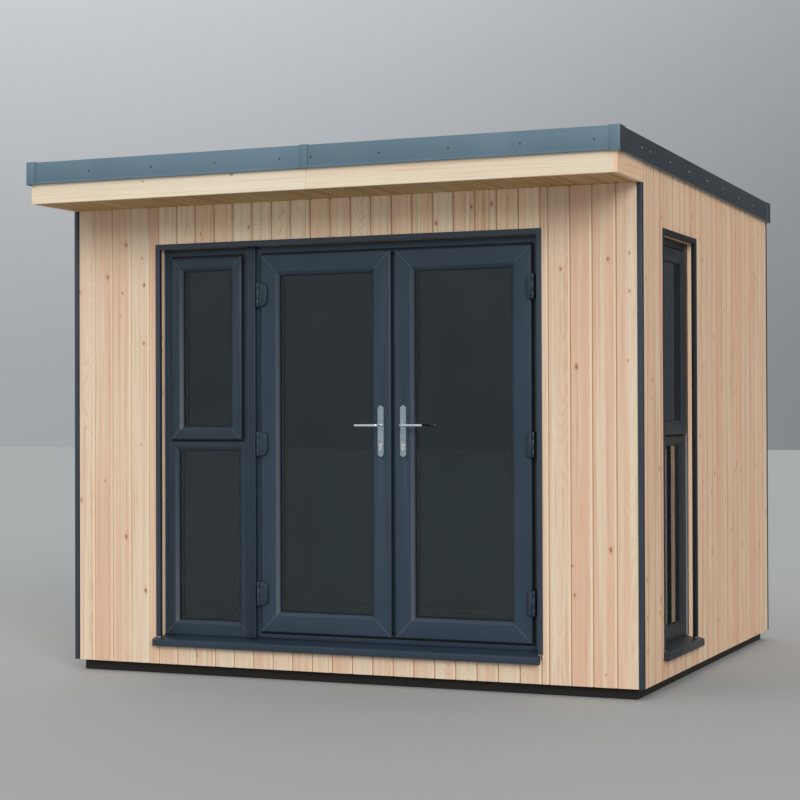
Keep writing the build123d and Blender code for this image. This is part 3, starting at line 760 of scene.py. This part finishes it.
for wall, sign, hole in (("right", 1, window_hole), ("left", -1, None)):
    row, node = side_row(wall, sign, hole), wall + "_cladding"
    print(node, len(row), "boards")
    hand_over(row, node + "_boards", "larch_boards", side_boards, node)

back_joints = steps(-half_width + corner_trim, half_width - corner_trim, cover)
row = clad("back", back_joints, 0, roof_height(depth, cladding_rise))
hand_over(row, "back_cladding_boards", "larch_boards", upright_boards, "back_cladding")
print("back", len(back_joints) - 1, "boards")

# %% [markdown]
# ## The overhang
# The soffit is the same board laid front to back, face down. A board stays modelled upright, as on a
# wall, and the soffit gets a wall frame of its own, tipped forwards by a quarter turn. The fascia is
# two planed boards that meet in the middle, with softly rounded arrises, and a cheek board closes
# each end over the fascia's end grain.

# %% soffit, fascia and cheeks
overhang = 371
fascia_inset = 16
fascia_top = 152
fascia_half = 1426
fascia_joint = 3
cheek_end = 22.5

tip_over = Matrix.Rotation(math.radians(90), 4, "X")
walls["soffit"] = walls["front"] @ Matrix.Translation((0, 0, eaves * MM)) @ tip_over
soffit_joints = steps(-fascia_half, fascia_half, 100)
row = clad("soffit", soffit_joints, 0, overhang - fascia_inset, covered_dark_joint_and_shade)
hand_over(row, "soffit_boards", "larch_boards", soffit_boards, "soffit")

row = []
for ends in ((-fascia_half, fascia_joint - 0.6), (fascia_joint + 0.6, fascia_half)):
    piece = block(ends, (-overhang, -overhang + fascia_inset), (eaves, eaves + fascia_top))
    round_edges(piece, lambda m, d: m.y < -overhang + 1 and m.z < eaves + 1, 2.5, 3)
    row.append(mark_board(stand(piece)))
hand_over(row, "fascia_boards", "larch_trim", level_boards, "front_fascia")

row = []
for side in (-1, 1):
    outer = side * half_width
    heights = (eaves, roof_height(cheek_end, fascia_top))
    piece = block((side * fascia_half, outer), (-overhang, cheek_end), heights)
    round_edges(piece, lambda m, d: abs(m.x - outer) < 1 and m.z < eaves + 100, 2, 3)
    row.append(mark_board(stand(piece)))
hand_over(row, "fascia_cheek_boards", "larch_trim", depth_boards, "fascia_cheeks")
print("soffit", len(soffit_joints) - 1, "boards")

# %% [markdown]
# ## Soft edges for folded and moulded parts
# No real edge is perfectly sharp, and the thin bright line along it is what tells the eye that a part is
# metal or plastic. The solids of the frames, trims, sills, hinges and levers have the right shape
# already, so each is copied, its triangles are merged back into flat faces, and a small
# rounding is run along every true corner.

# %% soften the solid parts
flat_angle, corner_angle, smooth_angle = (math.radians(angle) for angle in (1, 32, 35))
moving = ("left_door", "right_door", "left_lever", "right_lever")
soft_parts = (
    ("anthracite_frame", foil, 0.8, ("door_frame",)),
    ("anthracite_frame", side_light_shaded_foil, 0.7, ("coupler_post",)),
    ("anthracite_frame", side_light_shaded_foil, 0.8, ("side_light_frame", "side_light_sash")),
    ("anthracite_frame", side_window_shaded_foil, 0.8, ("side_window_frame", "side_window_sash")),
    ("anthracite_frame", foil, 0.8, ("left_door_leaf", "right_door_leaf")),
    ("anthracite_frame", sill_skin, 1.2, ("sills",)),
    ("corner_metal", corner_metal, 0.8, ("corner_trims",)),
    ("corner_metal", corner_metal, 0.5, ("opening_trims",)),
    ("anthracite_metal", roof_metal, 0.6, ("roof_trims", "roof_trim_caps")),
    ("hinge_metal", hinge_coat, 0.6, ("frame_hinges",)),
    ("hinge_metal", hinge_coat, 1.0, ("left_door_hinges", "right_door_hinges")),
    ("polished_handle", chrome, 0.5, ("left_lever", "right_lever")),
)


def soften(node, slot, material, width):
    """A copy of a solid with rounded corners; parts of a door or lever are named after their body."""
    body = next((body for body in moving if node.startswith(body)), "pod")
    twin = copy_of(nodes[node])
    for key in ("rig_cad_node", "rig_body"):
        if key in twin:
            del twin[key]
    twin.parent = None
    only(twin)
    bpy.ops.object.mode_set(mode="EDIT")
    bpy.ops.mesh.select_all(action="SELECT")
    bpy.ops.mesh.remove_doubles(threshold=0.00001)
    bpy.ops.mesh.dissolve_limited(angle_limit=flat_angle)
    done()
    soft = twin.modifiers.new("soft", "BEVEL")
    soft.width = width * MM
    soft.segments = 2
    soft.limit_method = "ANGLE"
    soft.angle_limit = corner_angle
    bpy.ops.object.modifier_apply(modifier=soft.name)
    bpy.ops.object.shade_smooth_by_angle(angle=smooth_angle)
    made = hand_over([twin], node + "_finished", slot, material, node, body=body)
    print(made.name, len(made.data.polygons), "faces")
    return made


# darker copies of the coats for sideways faces: painted shade and painted reflection
painted_side_shades = {
    roof_metal: roof_metal_side_shade, corner_metal: corner_metal_side_shade, sill_skin: sill_skin_side_shade,
}
side_wall = half_width - 200


def paint_side_shade(piece, coat, beyond=math.inf):
    """Gives the faces that look sideways, or lie beyond a distance, a darker copy of a coat: painted
    shade.
    """
    piece.data.materials.append(painted_side_shades[coat])
    for face in piece.data.polygons:
        out = abs(face.center.x - middle_x) / MM > beyond
        face.material_index = int(out or abs(face.normal.x) > 0.7)


for slot, coat, width, names in soft_parts:
    for node in names:
        made = soften(node, slot, coat, width)
        if coat in painted_side_shades:
            paint_side_shade(made, coat, side_wall if node in ("opening_trims", "sills") else math.inf)

# %% [markdown]
# ## Finishes for the solids that stay
# The insulated walls and the roof slab keep their solids and get the painted lining that shows inside.
# The floor panel, the roof covering and the glass keep theirs too. The lining boards, the base and the
# floor boards are rebuilt further down.

# %% carried-over solids
front_walls = ("front_wall_left", "front_wall_right", "front_wall_header")
for material, names in (
    (lining_paint, (*front_walls, "back_wall", "left_wall", "right_wall", "roof_slab")),
    (floor_sheet, ("floor_panel",)),
    (roof_rubber, ("roof_membrane",)),
    (clear_glass, ("window_glass", "left_door_glass", "right_door_glass")),
):
    for node in names:
        nodes[node].data.materials.clear()
        nodes[node].data.materials.append(material)
    print(material.name, "on", len(names), "solids")

# %% [markdown]
# ## Timber round the openings
# The cladding stops at a lining of planed boards: two jambs that stand on the sill and a head that lies
# over them. The sill is weathered, so each jamb's foot is cut to its slope. That is one cut
# across the board where the slope ends, and the front of the foot pulled down.

# %% jambs and heads
lining = 12
wall_thickness = 140
sill_flat = 139
slope_end = 50
slope_drop = 19 * slope_end / 80
openings = {"front": (960, 1997.5), "right": (282.5, 2009)}


def jamb(inner, side, head):
    """A jamb board: inner is its face's distance from the middle of the opening."""
    face = side * inner
    piece = block((face, face + side * lining), (0, wall_thickness), (sill_flat, head))
    choose(piece, "EDGE", lambda m, d: True)
    bpy.ops.mesh.bisect(plane_co=(0, slope_end * MM, 0), plane_no=(0, 1, 0))
    done()
    pull_points(piece, lambda p, d: p.y < 1 and p.z < sill_flat + 1, -slope_drop)
    return round_edges(piece, lambda m, d: abs(m.x - face) < 0.5 and m.y < 1, 1.2, 2)


uprights, heads = [], []
for wall, (half, head) in openings.items():
    for side in (-1, 1):
        uprights.append(mark_board(stand(jamb(half, side, head), wall)))
    over = block((-half - lining, half + lining), (0, wall_thickness), (head, head + lining))
    heads.append(round_edges(over, lambda m, d: m.z < head + 1 and m.y < 1, 1.2, 2))
hand_over(uprights, "opening_jambs", "larch_trim", reveal_boards, "opening_linings")
for wall, over, grain in zip(openings, heads, (level_boards, depth_boards)):
    hand_over([mark_board(stand(over, wall))], wall + "_opening_head", "larch_trim", grain)
print("linings", len(uprights), "jambs")

# %% [markdown]
# ## The base and the floor
# Under the floor lies a frame of black-stained timbers: a long timber at the front and back, cut in two
# lengths, ends between them and joists across. On top lie planks with a small bevel.

# %% base timbers and floor planks
setback = 38
base_high = 50
timber_wide = 90
beam_joint = 311
joist_pitch = 560
base_half = half_width - setback
row = []
for y in (setback, depth - setback - timber_wide):
    for ends in ((-base_half, beam_joint - 1), (beam_joint + 1, base_half)):
        row.append(block(ends, (y, y + timber_wide), (-base_high, 0)))
joist_ends = (setback + timber_wide + 1, depth - setback - timber_wide - 1)
for x in steps(-base_half, base_half - timber_wide, joist_pitch):
    row.append(block((x, x + timber_wide), joist_ends, (-base_high, 0)))
for piece in row:
    round_edges(piece, lambda m, d: m.z < 1 - base_high, 3, 2)
row = [mark_board(stand(piece)) for piece in row]
hand_over(row, "base_timbers", "base_black", black_timber, "base_plinth")

floor_low, floor_top = 109, 123
room_half = half_width - wall_thickness
plank_wide = 186
plank_gap = 0.2
row = []
plank_joints = steps(wall_thickness, depth - wall_thickness, plank_wide)
for y0, y1 in zip(plank_joints, plank_joints[1:]):
    split = random.uniform(-0.6, 0.6) * room_half
    for x0, x1 in ((-room_half, split), (split, room_half)):
        sides, ends = (x0 + plank_gap, x1 - plank_gap), (y0 + plank_gap, y1 - plank_gap)
        piece = block(sides, ends, (floor_low, floor_top))
        round_edges(piece, lambda m, d: m.z > floor_top - 0.1, 0.9, 1)
        row.append(mark_board(stand(piece)))
hand_over(row, "floor_planks", "floor_boards", floor_oak, "floor_boards")
print("floor", len(row), "planks")

# %% [markdown]
# ## What holds the glass
# A double-glazed unit has a grey spacer bar round its edge, between the panes, and sits between rubber
# gaskets. From the side the bar shows as a thin line. Both are plain rings, drawn from the sight
# line of each light: what is left inside the beads. A broader black seal lies in the groove that
# runs round each lip and draws the dark outline of every sash and leaf; it is partly a seal and partly
# painted shade in the groove.

# %% lights
edge_bevel = 5
bead = 16
bead_deep = 14
glass_recess = 20
unit_thick = 28
pane = 4
frame_wide = 55
transom_high = 45
front_transom, side_transom = 1044, 1064
lip_overlap = 10
sash_face, leaf_face = 46, 80
lip_depth, frame_depth = 30, 50
meeting_gap = 20


def window_lights(frame_bounds, transom):
    """The sash's lip above the transom and the opening below it."""
    x0, x1, z0, z1 = inset(frame_bounds, frame_wide)
    upper = (x0, x1, transom + transom_high, z1)
    return inset(upper, -lip_overlap), (x0, x1, z0, transom)


side_light = extent("side_light_frame")
side_window = extent("side_window_frame", "right")
vent, fixed = window_lights(side_light, front_transom)
side_vent, side_fixed = window_lights(side_window, side_transom)
left_lip = extent("left_door_leaf")
right_lip = extent("right_door_leaf")
right_lip = (left_lip[1] + meeting_gap, *right_lip[1:])
lips = (
    ("vent", "front", "pod", vent, sash_face),
    ("side_vent", "right", "pod", side_vent, sash_face),
    ("left_leaf", "front", "left_door", left_lip, leaf_face),
    ("right_leaf", "front", "right_door", right_lip, leaf_face),
)
print("left lip", [round(v, 1) for v in left_lip], "right lip", [round(v, 1) for v in right_lip])

# %% gaskets and spacer bars
gasket = 3.5
bar_wide = 12
opened = [(name, wall, body, inset(lip, face), lip_depth) for name, wall, body, lip, face in lips]
lights = (
    opened[0], ("fixed_light", "front", "pod", fixed, frame_depth),
    opened[1], ("side_fixed_light", "right", "pod", side_fixed, frame_depth), *opened[2:],
)
for name, wall, body, beads, face in lights:
    sight = inset(beads, bead)
    glass = face + glass_recess
    behind = glass + unit_thick
    outer = ring(inset(sight, -0.5), gasket + 0.5, face + bead_deep - 1, glass)
    round_edges(outer, lambda m, d: m.y < face + bead_deep and abs(d.y) < 0.5, 1.2, 2)
    inner = ring(inset(sight, -0.5), gasket + 0.5, behind, behind + 3)
    seals = [stand(outer, wall), stand(inner, wall)]
    hand_over(seals, name + "_gaskets", "anthracite_frame", rubber, body=body)
    bar = ring(inset(sight, 1.5 - bar_wide), bar_wide, glass + pane, behind - pane)
    round_edges(bar, lambda m, d: abs(d.y) < 0.5, 0.8, 1)
    hand_over([stand(bar, wall)], name + "_spacer_bar", "anthracite_metal", spacer_metal, body=body)

groove_beyond_lip, groove_wide = 10, 13
groove_floor, seal_thick = 60, 5
door_lips = (left_lip[0], *right_lip[1:])
# the black ring in each lip's groove is partly a seal and partly painted shade
row = []
for wall, lip in (("front", vent), ("front", door_lips), ("right", side_vent)):
    bounds = inset(lip, 0.3 - groove_beyond_lip)
    seal = ring(bounds, groove_wide - 0.6, groove_floor - seal_thick, groove_floor)
    row.append(stand(round_edges(seal, lambda m, d: m.y < groove_floor - 4, 1.5, 2), wall))
hand_over(row, "lip_seals", "anthracite_frame", rubber)
print("glazing details on", len(lights), "lights")

# %% [markdown]
# ## Welded corners
# Plastic window profiles are cut at 45 degrees and welded. The weld is scraped to a fine groove and
# touched up with lacquer, which catches the light as a line from the outer corner to the bead.
# We lay a flat bead of lacquer there: a thin strip with bevelled edges, turned by the angle
# between its two ends. Its coat is lighter and glossier than the foil, a painted highlight.

# %% weld lines


def strip(start, end, y, wide, thick):
    """A thin strip on a wall between two points (x, z), half sunk in the face at depth y."""
    run, rise = end[0] - start[0], end[1] - start[1]
    half_long = math.hypot(run, rise) / 2
    x, z = (start[0] + end[0]) / 2, (start[1] + end[1]) / 2
    front, back = y - thick / 2, y + thick / 2
    sides, heights = (x - half_long, x + half_long), (z - wide / 2, z + wide / 2)
    piece = block(sides, (front, back), heights, turn=(0, -math.atan2(rise, run), 0))
    return round_edges(piece, lambda m, d: m.y < front + 0.01, thick / 3, 1)


def over_groove(lip):
    return inset(lip, -groove_beyond_lip)


door_frame = extent("door_frame")
bottom, top = (2,), (3,)
leaf_welds = {
    name: (name, wall, body, inset(lip, edge_bevel), inset(lip, face), lip_depth, bottom + top)
    for name, wall, body, lip, face in lips
}
weld_rows = (
    leaf_welds["vent"],
    ("fixed_light", "front", "pod", side_light, fixed, frame_depth, bottom),
    ("side_light_head", "front", "pod", side_light, over_groove(vent), frame_depth, top),
    ("door_head", "front", "pod", door_frame, over_groove(door_lips), frame_depth, top),
    leaf_welds["side_vent"],
    ("side_fixed_light", "right", "pod", side_window, side_fixed, frame_depth, bottom),
    ("side_window_head", "right", "pod", side_window, over_groove(side_vent), frame_depth, top),
    leaf_welds["left_leaf"],
    leaf_welds["right_leaf"],
)
for name, wall, body, outer, inner, y, levels in weld_rows:
    corners = [(i, j) for i in (0, 1) for j in levels]
    lines = [strip((outer[i], outer[j]), (inner[i], inner[j]), y, 1.5, 0.5) for i, j in corners]
    lines = [stand(line, wall) for line in lines]
    hand_over(lines, name + "_welds", "anthracite_frame", weld, body=body)
print("welds on", len(weld_rows), "frames and leaves")

# %% [markdown]
# ## Screws and nails
# One pan-head screw is modelled and copied: a short disc with a domed edge and a driver recess sunk in
# its face. The roof trims are fixed about every 330 mm, at the places the photograph shows. The
# linings are nailed, and a nail head is a smaller, flatter disc.

# %% fixings
trim_out = 15
trim_foot = 92
trim_proud = 3
trim_mid = 10
screw_rise = 45
screw_heights = (240, 660, 1080, 1500, 1900)
nail_heights = (250, 420, 760, 1100, 1440, 1780)
nail_pair = ((14, 0), (38, 9))


def fixing(radius, proud, dome, recess):
    """A screw or nail head at the origin of a wall's frame, facing out."""
    head = disc((0, -proud / 2, 0), radius, proud, 16)
    round_edges(head, lambda m, d: m.y < -proud + 0.01, dome, 2)
    return step_face(head, lambda m, n: n.y < -0.99, radius * 0.3, (0, recess, 0))


trim_screw = fixing(4.4, 1.9, 0.9, 0.9)
small_screw = fixing(3.0, 1.2, 0.6, 0.6)
nail = fixing(2.6, 0.5, 0.2, 0.25)


def place_all(pattern, spots, wall):
    return [stand(copy_of(pattern, spot), wall) for spot in spots]


front_x = [-1428, -1114, -781, -447, -120, 37, 366, 692, 1020, 1347, 1418]
side_places = [
    (-378, 2345), (-51, 2340), (80, 2339), (416, 2335), (753, 2331),
    (1104, 2328), (1432, 2323), (1773, 2317), (2114, 2309), (2468, 2302),
]
screws = place_all(trim_screw, [(x, roof_start, 2341) for x in front_x], "front")
back_z = roof_height(depth, trim_foot) + screw_rise
back_x = steps(-1380, 1380, 345)
screws += place_all(trim_screw, [(x, -trim_out, back_z) for x in back_x], "back")
count = len(screws)
hand_over(screws, "roof_trim_screws", "anthracite_metal", screw_metal)
screws = []
for wall, sign in (("right", 1), ("left", -1)):
    spots = [(sign * (y - side_window_middle), -trim_out, z) for y, z in side_places]
    screws += place_all(trim_screw, spots, wall)
count += len(screws)
hand_over(screws, "roof_trim_side_screws", "anthracite_metal", side_screw_highlight)

screws, nails = [], []
for (wall, (half, head)), across in zip(openings.items(), ((-820, -410, 0, 410, 820), (-200, 200))):
    spots = [(side * (half + trim_mid), -trim_proud, z) for side in (-1, 1) for z in screw_heights]
    spots += [(x, -trim_proud, head + trim_mid) for x in across]
    screws += place_all(small_screw, spots, wall)
    for side in (-1, 1):
        for z in nail_heights:
            for y, up in nail_pair:
                pin = copy_of(nail, (side * half, y, z + up), -side * math.pi / 2)
                nails.append(stand(pin, wall))
count += len(screws) + len(nails)
hand_over(screws, "opening_trim_screws", "corner_metal", screw_metal)
hand_over(nails, "lining_nails", "larch_trim", nail_metal)
for pattern in (trim_screw, small_screw, nail):
    bpy.data.objects.remove(pattern)
print("fixings", count)

# %% [markdown]
# ## Folded hems and mitred trims
# The bottom edge of a folded roof trim is turned back on itself, which stiffens it and leaves a thicker
# rounded line. It runs along all four sides and falls with the roof on two of them. The opening
# trims are cut at 45 degrees, and the cut edge shows as a pale line. Those of the side window turn a
# little further into the opening.

# %% hems and mitres
hem_high, hem_proud = 9, 1.4
cap_wide = 48
fall_angle = math.atan(roof_fall)
trim_half = half_width + trim_out
side_start, side_end = -304, depth - 66


def hem(x0, x1, y, z, wall, tilt=0.0):
    """A rounded hem along the foot of a trim; tilt turns it about its middle to follow the roof."""
    face = y - hem_proud
    piece = block((x0, x1), (face, y + 0.5), (z, z + hem_high), turn=(0, tilt, 0))
    round_edges(piece, lambda m, d: abs(m.y - face) < 0.01 and abs(d.x) > 0.9, 1.2, 3)
    return stand(piece, wall)


front_z = roof_height(roof_start, trim_foot)
row = [hem(-trim_half + cap_wide, trim_half - cap_wide, roof_start, front_z, "front")]
side_half = (side_end - side_start) / 2
side_z = roof_height(side_start + side_half, trim_foot)
for wall, sign in (("right", 1), ("left", -1)):
    x = sign * (side_start + side_half - side_window_middle)
    row.append(hem(x - side_half, x + side_half, -trim_out, side_z, wall, sign * fall_angle))
row.append(hem(-1378, 1378, -trim_out, roof_height(depth + trim_out, trim_foot), "back"))
paint_side_shade(hand_over(row, "roof_trim_hems", "anthracite_metal", roof_metal), roof_metal)

trim_wide = 25
return_start, return_end, return_low = 14, 18, 132
return_thick = 1.6
mitres, returns = [], []
for wall, (half, head) in openings.items():
    inner, foot = half - trim_proud, head - trim_proud
    for side in (-1, 1):
        start = (side * (inner + trim_wide), foot + trim_wide)
        mitres.append(stand(strip(start, (side * inner, foot), -trim_proud, 1.0, 0.4), wall))
half, head = openings["right"]
for side in (-1, 1):
    sides = (side * half, side * (half - return_thick))
    leg = block(sides, (return_start, return_end), (return_low, head))
    returns.append(stand(round_edges(leg, lambda m, d: m.y > return_end - 0.1, 0.5, 2), "right"))
# the mitre lines take the weld's lighter coat: partly the cut edge, partly painted highlight
hand_over(mitres, "opening_trim_mitres", "corner_metal", weld)
hand_over(returns, "side_trim_returns", "corner_metal", corner_metal_side_shade)
print("hems", len(row), "mitres", len(mitres))

# %% [markdown]
# ## Sills, seals and sealant
# Under every frame foot runs a black seal, which also paints the shade line under the frame; the sill has
# a cover over its joint below the coupler, and its ends are capped. Where frame meets lining there is a
# hand-laid bead of brown or grey sealant, a little uneven, so the strip is cut into short lengths and its
# points are nudged. The grey bead's pale tone is a painted highlight along the frame's outer edge.

# %% sill and sealant details
nose_out, nose_top, nose_high = 30, 120, 32
nose_step = 7
sill_joint = -459
sill_ends = (("front", -987, -1), ("front", 968, 1), ("right", -315, -1), ("right", 315, 1))


def uneven(piece, axis, amount, seed, wall):
    """Cuts a strip that runs along an axis into short lengths and nudges its points."""
    choose(piece, "EDGE", lambda m, d: abs(d[axis]) > 0.9)
    bpy.ops.mesh.subdivide(number_cuts=60)
    bpy.ops.mesh.select_all(action="SELECT")
    bpy.ops.transform.vertex_random(offset=amount * MM, seed=seed)
    done()
    return stand(piece, wall)


# a black seal strip under each frame foot, which also paints the shade line between frame and sill
row = []
for wall, ends in (("front", (-960, 960)), ("right", side_window[:2])):
    foot = block(ends, (frame_depth - 2.5, frame_depth + 4), (sill_flat, sill_flat + 3))
    row.append(stand(round_edges(foot, lambda m, d: m.y < frame_depth - 2, 1, 2), wall))
hand_over(row, "frame_foot_seals", "anthracite_frame", rubber)

row = []
for wall, x, side in sill_ends:
    heights = (nose_top - nose_high - 0.8, nose_top + 1)
    cap = block((x - side * 3, x + side * 1.5), (0.1 - nose_out, 0), heights)
    pull_points(cap, lambda p, d: p.y > -1 and p.z > nose_top, nose_step)
    row.append(stand(round_edges(cap, lambda m, d: abs(d.x) < 0.5, 0.8, 2), wall))
heights = (nose_top - nose_high, nose_top)
cover = block((sill_joint - 3, sill_joint + 3), (-nose_out - 0.8, -nose_out + 2), heights)
row.append(stand(round_edges(cover, lambda m, d: m.y < -nose_out, 0.6, 1)))
paint_side_shade(hand_over(row, "sill_caps", "anthracite_frame", sill_skin), sill_skin, side_wall)

row, grey_row = [], []
for number, (wall, (half, head)) in enumerate(openings.items()):
    heights = (sill_flat, head)
    for side in (-1, 1):
        ends = (side * half, side * (half - 2))
        line = block(ends, (frame_depth - 8, frame_depth + 1), heights)
        grey_row.append(uneven(line, 2, 0.5, number * 2 + side + 2, wall))
        if wall == "right":
            line = block(ends, (frame_depth - 13, frame_depth - 8), heights)
            row.append(uneven(line, 2, 0.9, side + 6, wall))
    line = block((-half, half), (frame_depth - 3, frame_depth + 1), (head - 3.5, head))
    row.append(uneven(line, 0, 0.7, number + 9, wall))
hand_over(row, "lining_sealant", "larch_trim", brown_sealant)
hand_over(grey_row, "frame_edge_sealant", "anthracite_frame", grey_sealant)

smears = []
for wall, x, side in sill_ends:
    smear = block((x, x + side * 3.5), (-1.2, 0.5), (nose_top - 22, nose_top + 9))
    smears.append(uneven(smear, 2, 0.6, 31, wall))
hand_over(smears, "sill_end_sealant", "anthracite_frame", sealant)
print("sill ends", len(smears), "lines of sealant", len(row) + len(grey_row))

# %% [markdown]
# ## Handle plates and locks
# A handle plate is a long cast plate with pointed ends, a raised border and a hole for the lever's neck.
# We start from a block, take off its four corners, soften its front edge, sink the middle and
# drill it. The lock barrel stands 3 mm out of it: a round nose with a narrower foot, and a slot for
# the key.

# %% plates and barrels
plate_half, plate_thick = 15.5, 10
plate_ends = (1000, 1238)
lever_height = 1146
neck_hole = 8.6
barrel_z, barrel_foot_z = 1054, 1034.5
back_depth = 100
lever_axes = {"left": 192, "right": 304}


def plate(x, seat, out):
    """A backplate seated at a depth; out is -1 for the outer side and 1 for the room side."""
    front = seat + out * plate_thick
    piece = block((x - plate_half, x + plate_half), (seat, front), plate_ends)
    round_edges(piece, lambda m, d: abs(d.y) > 0.9, plate_half - 2.1, 6, 0.33)
    round_edges(piece, lambda m, d: abs(m.y - front) < 0.01 and abs(d.y) < 0.1, 2.2, 3)
    choose(piece, "FACE", lambda m, n: n.y * out > 0.999)
    bpy.ops.mesh.inset(thickness=1.2 * MM)
    bpy.ops.mesh.inset(thickness=0.9 * MM, depth=-0.9 * MM)
    done()
    neck = disc((x, seat, lever_height), neck_hole, plate_thick * 6)
    return [stand(cut(piece, neck))]


def barrel(x, seat, out):
    """The nose of a lock barrel that stands out of a plate."""
    nose = seat + out * (plate_thick + 3)
    middle, long = (seat + nose) / 2, abs(nose - seat)
    top = disc((x, middle, barrel_z), 8.5, long)
    foot = disc((x, middle, barrel_foot_z), 5, long, 24)
    y0, y1 = sorted((seat, nose))
    web = block((x - 5, x + 5), (y0 + 0.01, y1 - 0.01), (barrel_foot_z, barrel_z - 6))
    for piece in (top, foot):
        round_edges(piece, lambda m, d: abs(m.y - nose) < 0.01, 0.7, 2)
    slot = block((x - 0.8, x + 0.8), (nose + out, nose - out * 3), (barrel_z - 6, barrel_z + 4))
    return [stand(piece) for piece in (cut(top, slot), foot, web)]


for side, x in lever_axes.items():
    body, slot = side + "_door", "polished_handle"
    pair = plate(x, lip_depth, -1) + plate(x, back_depth, 1)
    made = hand_over(pair, side + "_plates", slot, plate_chrome, side + "_handle_plates", body=body)
    print(made.name, len(made.data.polygons), "faces")
    pair = barrel(x, lip_depth, -1) + barrel(x, back_depth, 1)
    hand_over(pair, side + "_lock_barrels", slot, lock_metal, body=body)

# %% [markdown]
# ## Hinge covers
# Each leaf hinge has a domed cover with two big round corners on its free side. It is a block with those
# corners bevelled into arcs and the whole front edge rolled over.

# %% hinge covers
hinge_half = 56.4
hinge_z = (352, 1058.5, 1765)
cover_front = 15.5
for side, pin, away, wide in (("left", -441.5, 1, 40), ("right", 931.5, -1, 20)):
    near, free = pin + away * 7.6, pin + away * (8.5 + wide)
    row = []
    for z in hinge_z:
        heights = (z - hinge_half, z + hinge_half)
        cover = block((near, free), (cover_front, lip_depth), heights)
        round_edges(cover, lambda m, d: abs(m.x - free) < 0.1 and abs(d.y) > 0.9, 0.7 * wide, 8)
        round_edges(cover, lambda m, d: m.y < cover_front + 0.01 and abs(d.y) < 0.1, 5.5, 4)
        row.append(stand(cover))
    made = hand_over(row, side + "_hinge_covers", "hinge_metal", hinge_coat, body=side + "_door")
    only(made)
    bpy.ops.object.shade_smooth_by_angle(angle=smooth_angle)
    print(made.name, len(made.data.polygons), "faces")

# %% [markdown]
# ## Where the leaves meet
# The right leaf carries the strip that closes the gap. The left leaf has a rubber blade that reaches
# towards it and stops 6 mm short, so that either leaf can be opened by itself.

# %% meeting blade
blade_x = (left_lip[1] - 6.5, left_lip[1] + 4)
blade = block(blade_x, (55, 58), (left_lip[2] + 17, left_lip[3] - 17))
round_edges(blade, lambda m, d: m.x > blade_x[1] - 0.1 and abs(d.z) > 0.9, 1.3, 3)
hand_over([stand(blade)], "meeting_blade", "anthracite_frame", rubber, body="left_door")
print("blade", round(left_lip[3] - left_lip[2] - 34), "high")

# %% [markdown]
# ## Seams on the roof
# The covering is two sheets wide. The seam is a lap with a rolled edge, and a narrow strip runs where the
# covering turns up against the kerb on either side.

# %% roof seams
covering_rise = 174
seam_ends = (-300, depth - 20)
seam_z = roof_height(sum(seam_ends) / 2, covering_rise)
row = []
for sides in ((-360, -300), (-1380, -1366), (1366, 1380)):
    lap = block(sides, seam_ends, (seam_z - 0.5, seam_z + 2.0), turn=(-fall_angle, 0, 0))
    row.append(stand(round_edges(lap, lambda m, d: m.z > seam_z - 60 and abs(d.y) > 0.9, 0.8, 2)))
hand_over(row, "roof_seams", "roof_membrane", roof_rubber)
print("roof seams", len(row))

# %% [markdown]
# ## The studio floor
# A wide pale floor carries the pod's shadow. It is marked as stage, so it isn't part of the pod.

# %% floor
floor_paint = Recipe("studio_floor", Roughness=0.8)
floor_paint.shader.inputs["Base Color"].default_value = colour(172, 172, 170)
bpy.ops.object.select_all(action="DESELECT")
bpy.ops.mesh.primitive_plane_add(size=120, location=(0, 0, 0))
floor = bpy.context.active_object
floor.name = "studio_floor"
floor.data.materials.append(floor_paint.material)
floor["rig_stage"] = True

# %% [markdown]
# ## The dressed pod's box
# The dressed pod must stay inside the solid model's box, so the dressed pod's box is worked out here.

# %% finish
low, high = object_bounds()
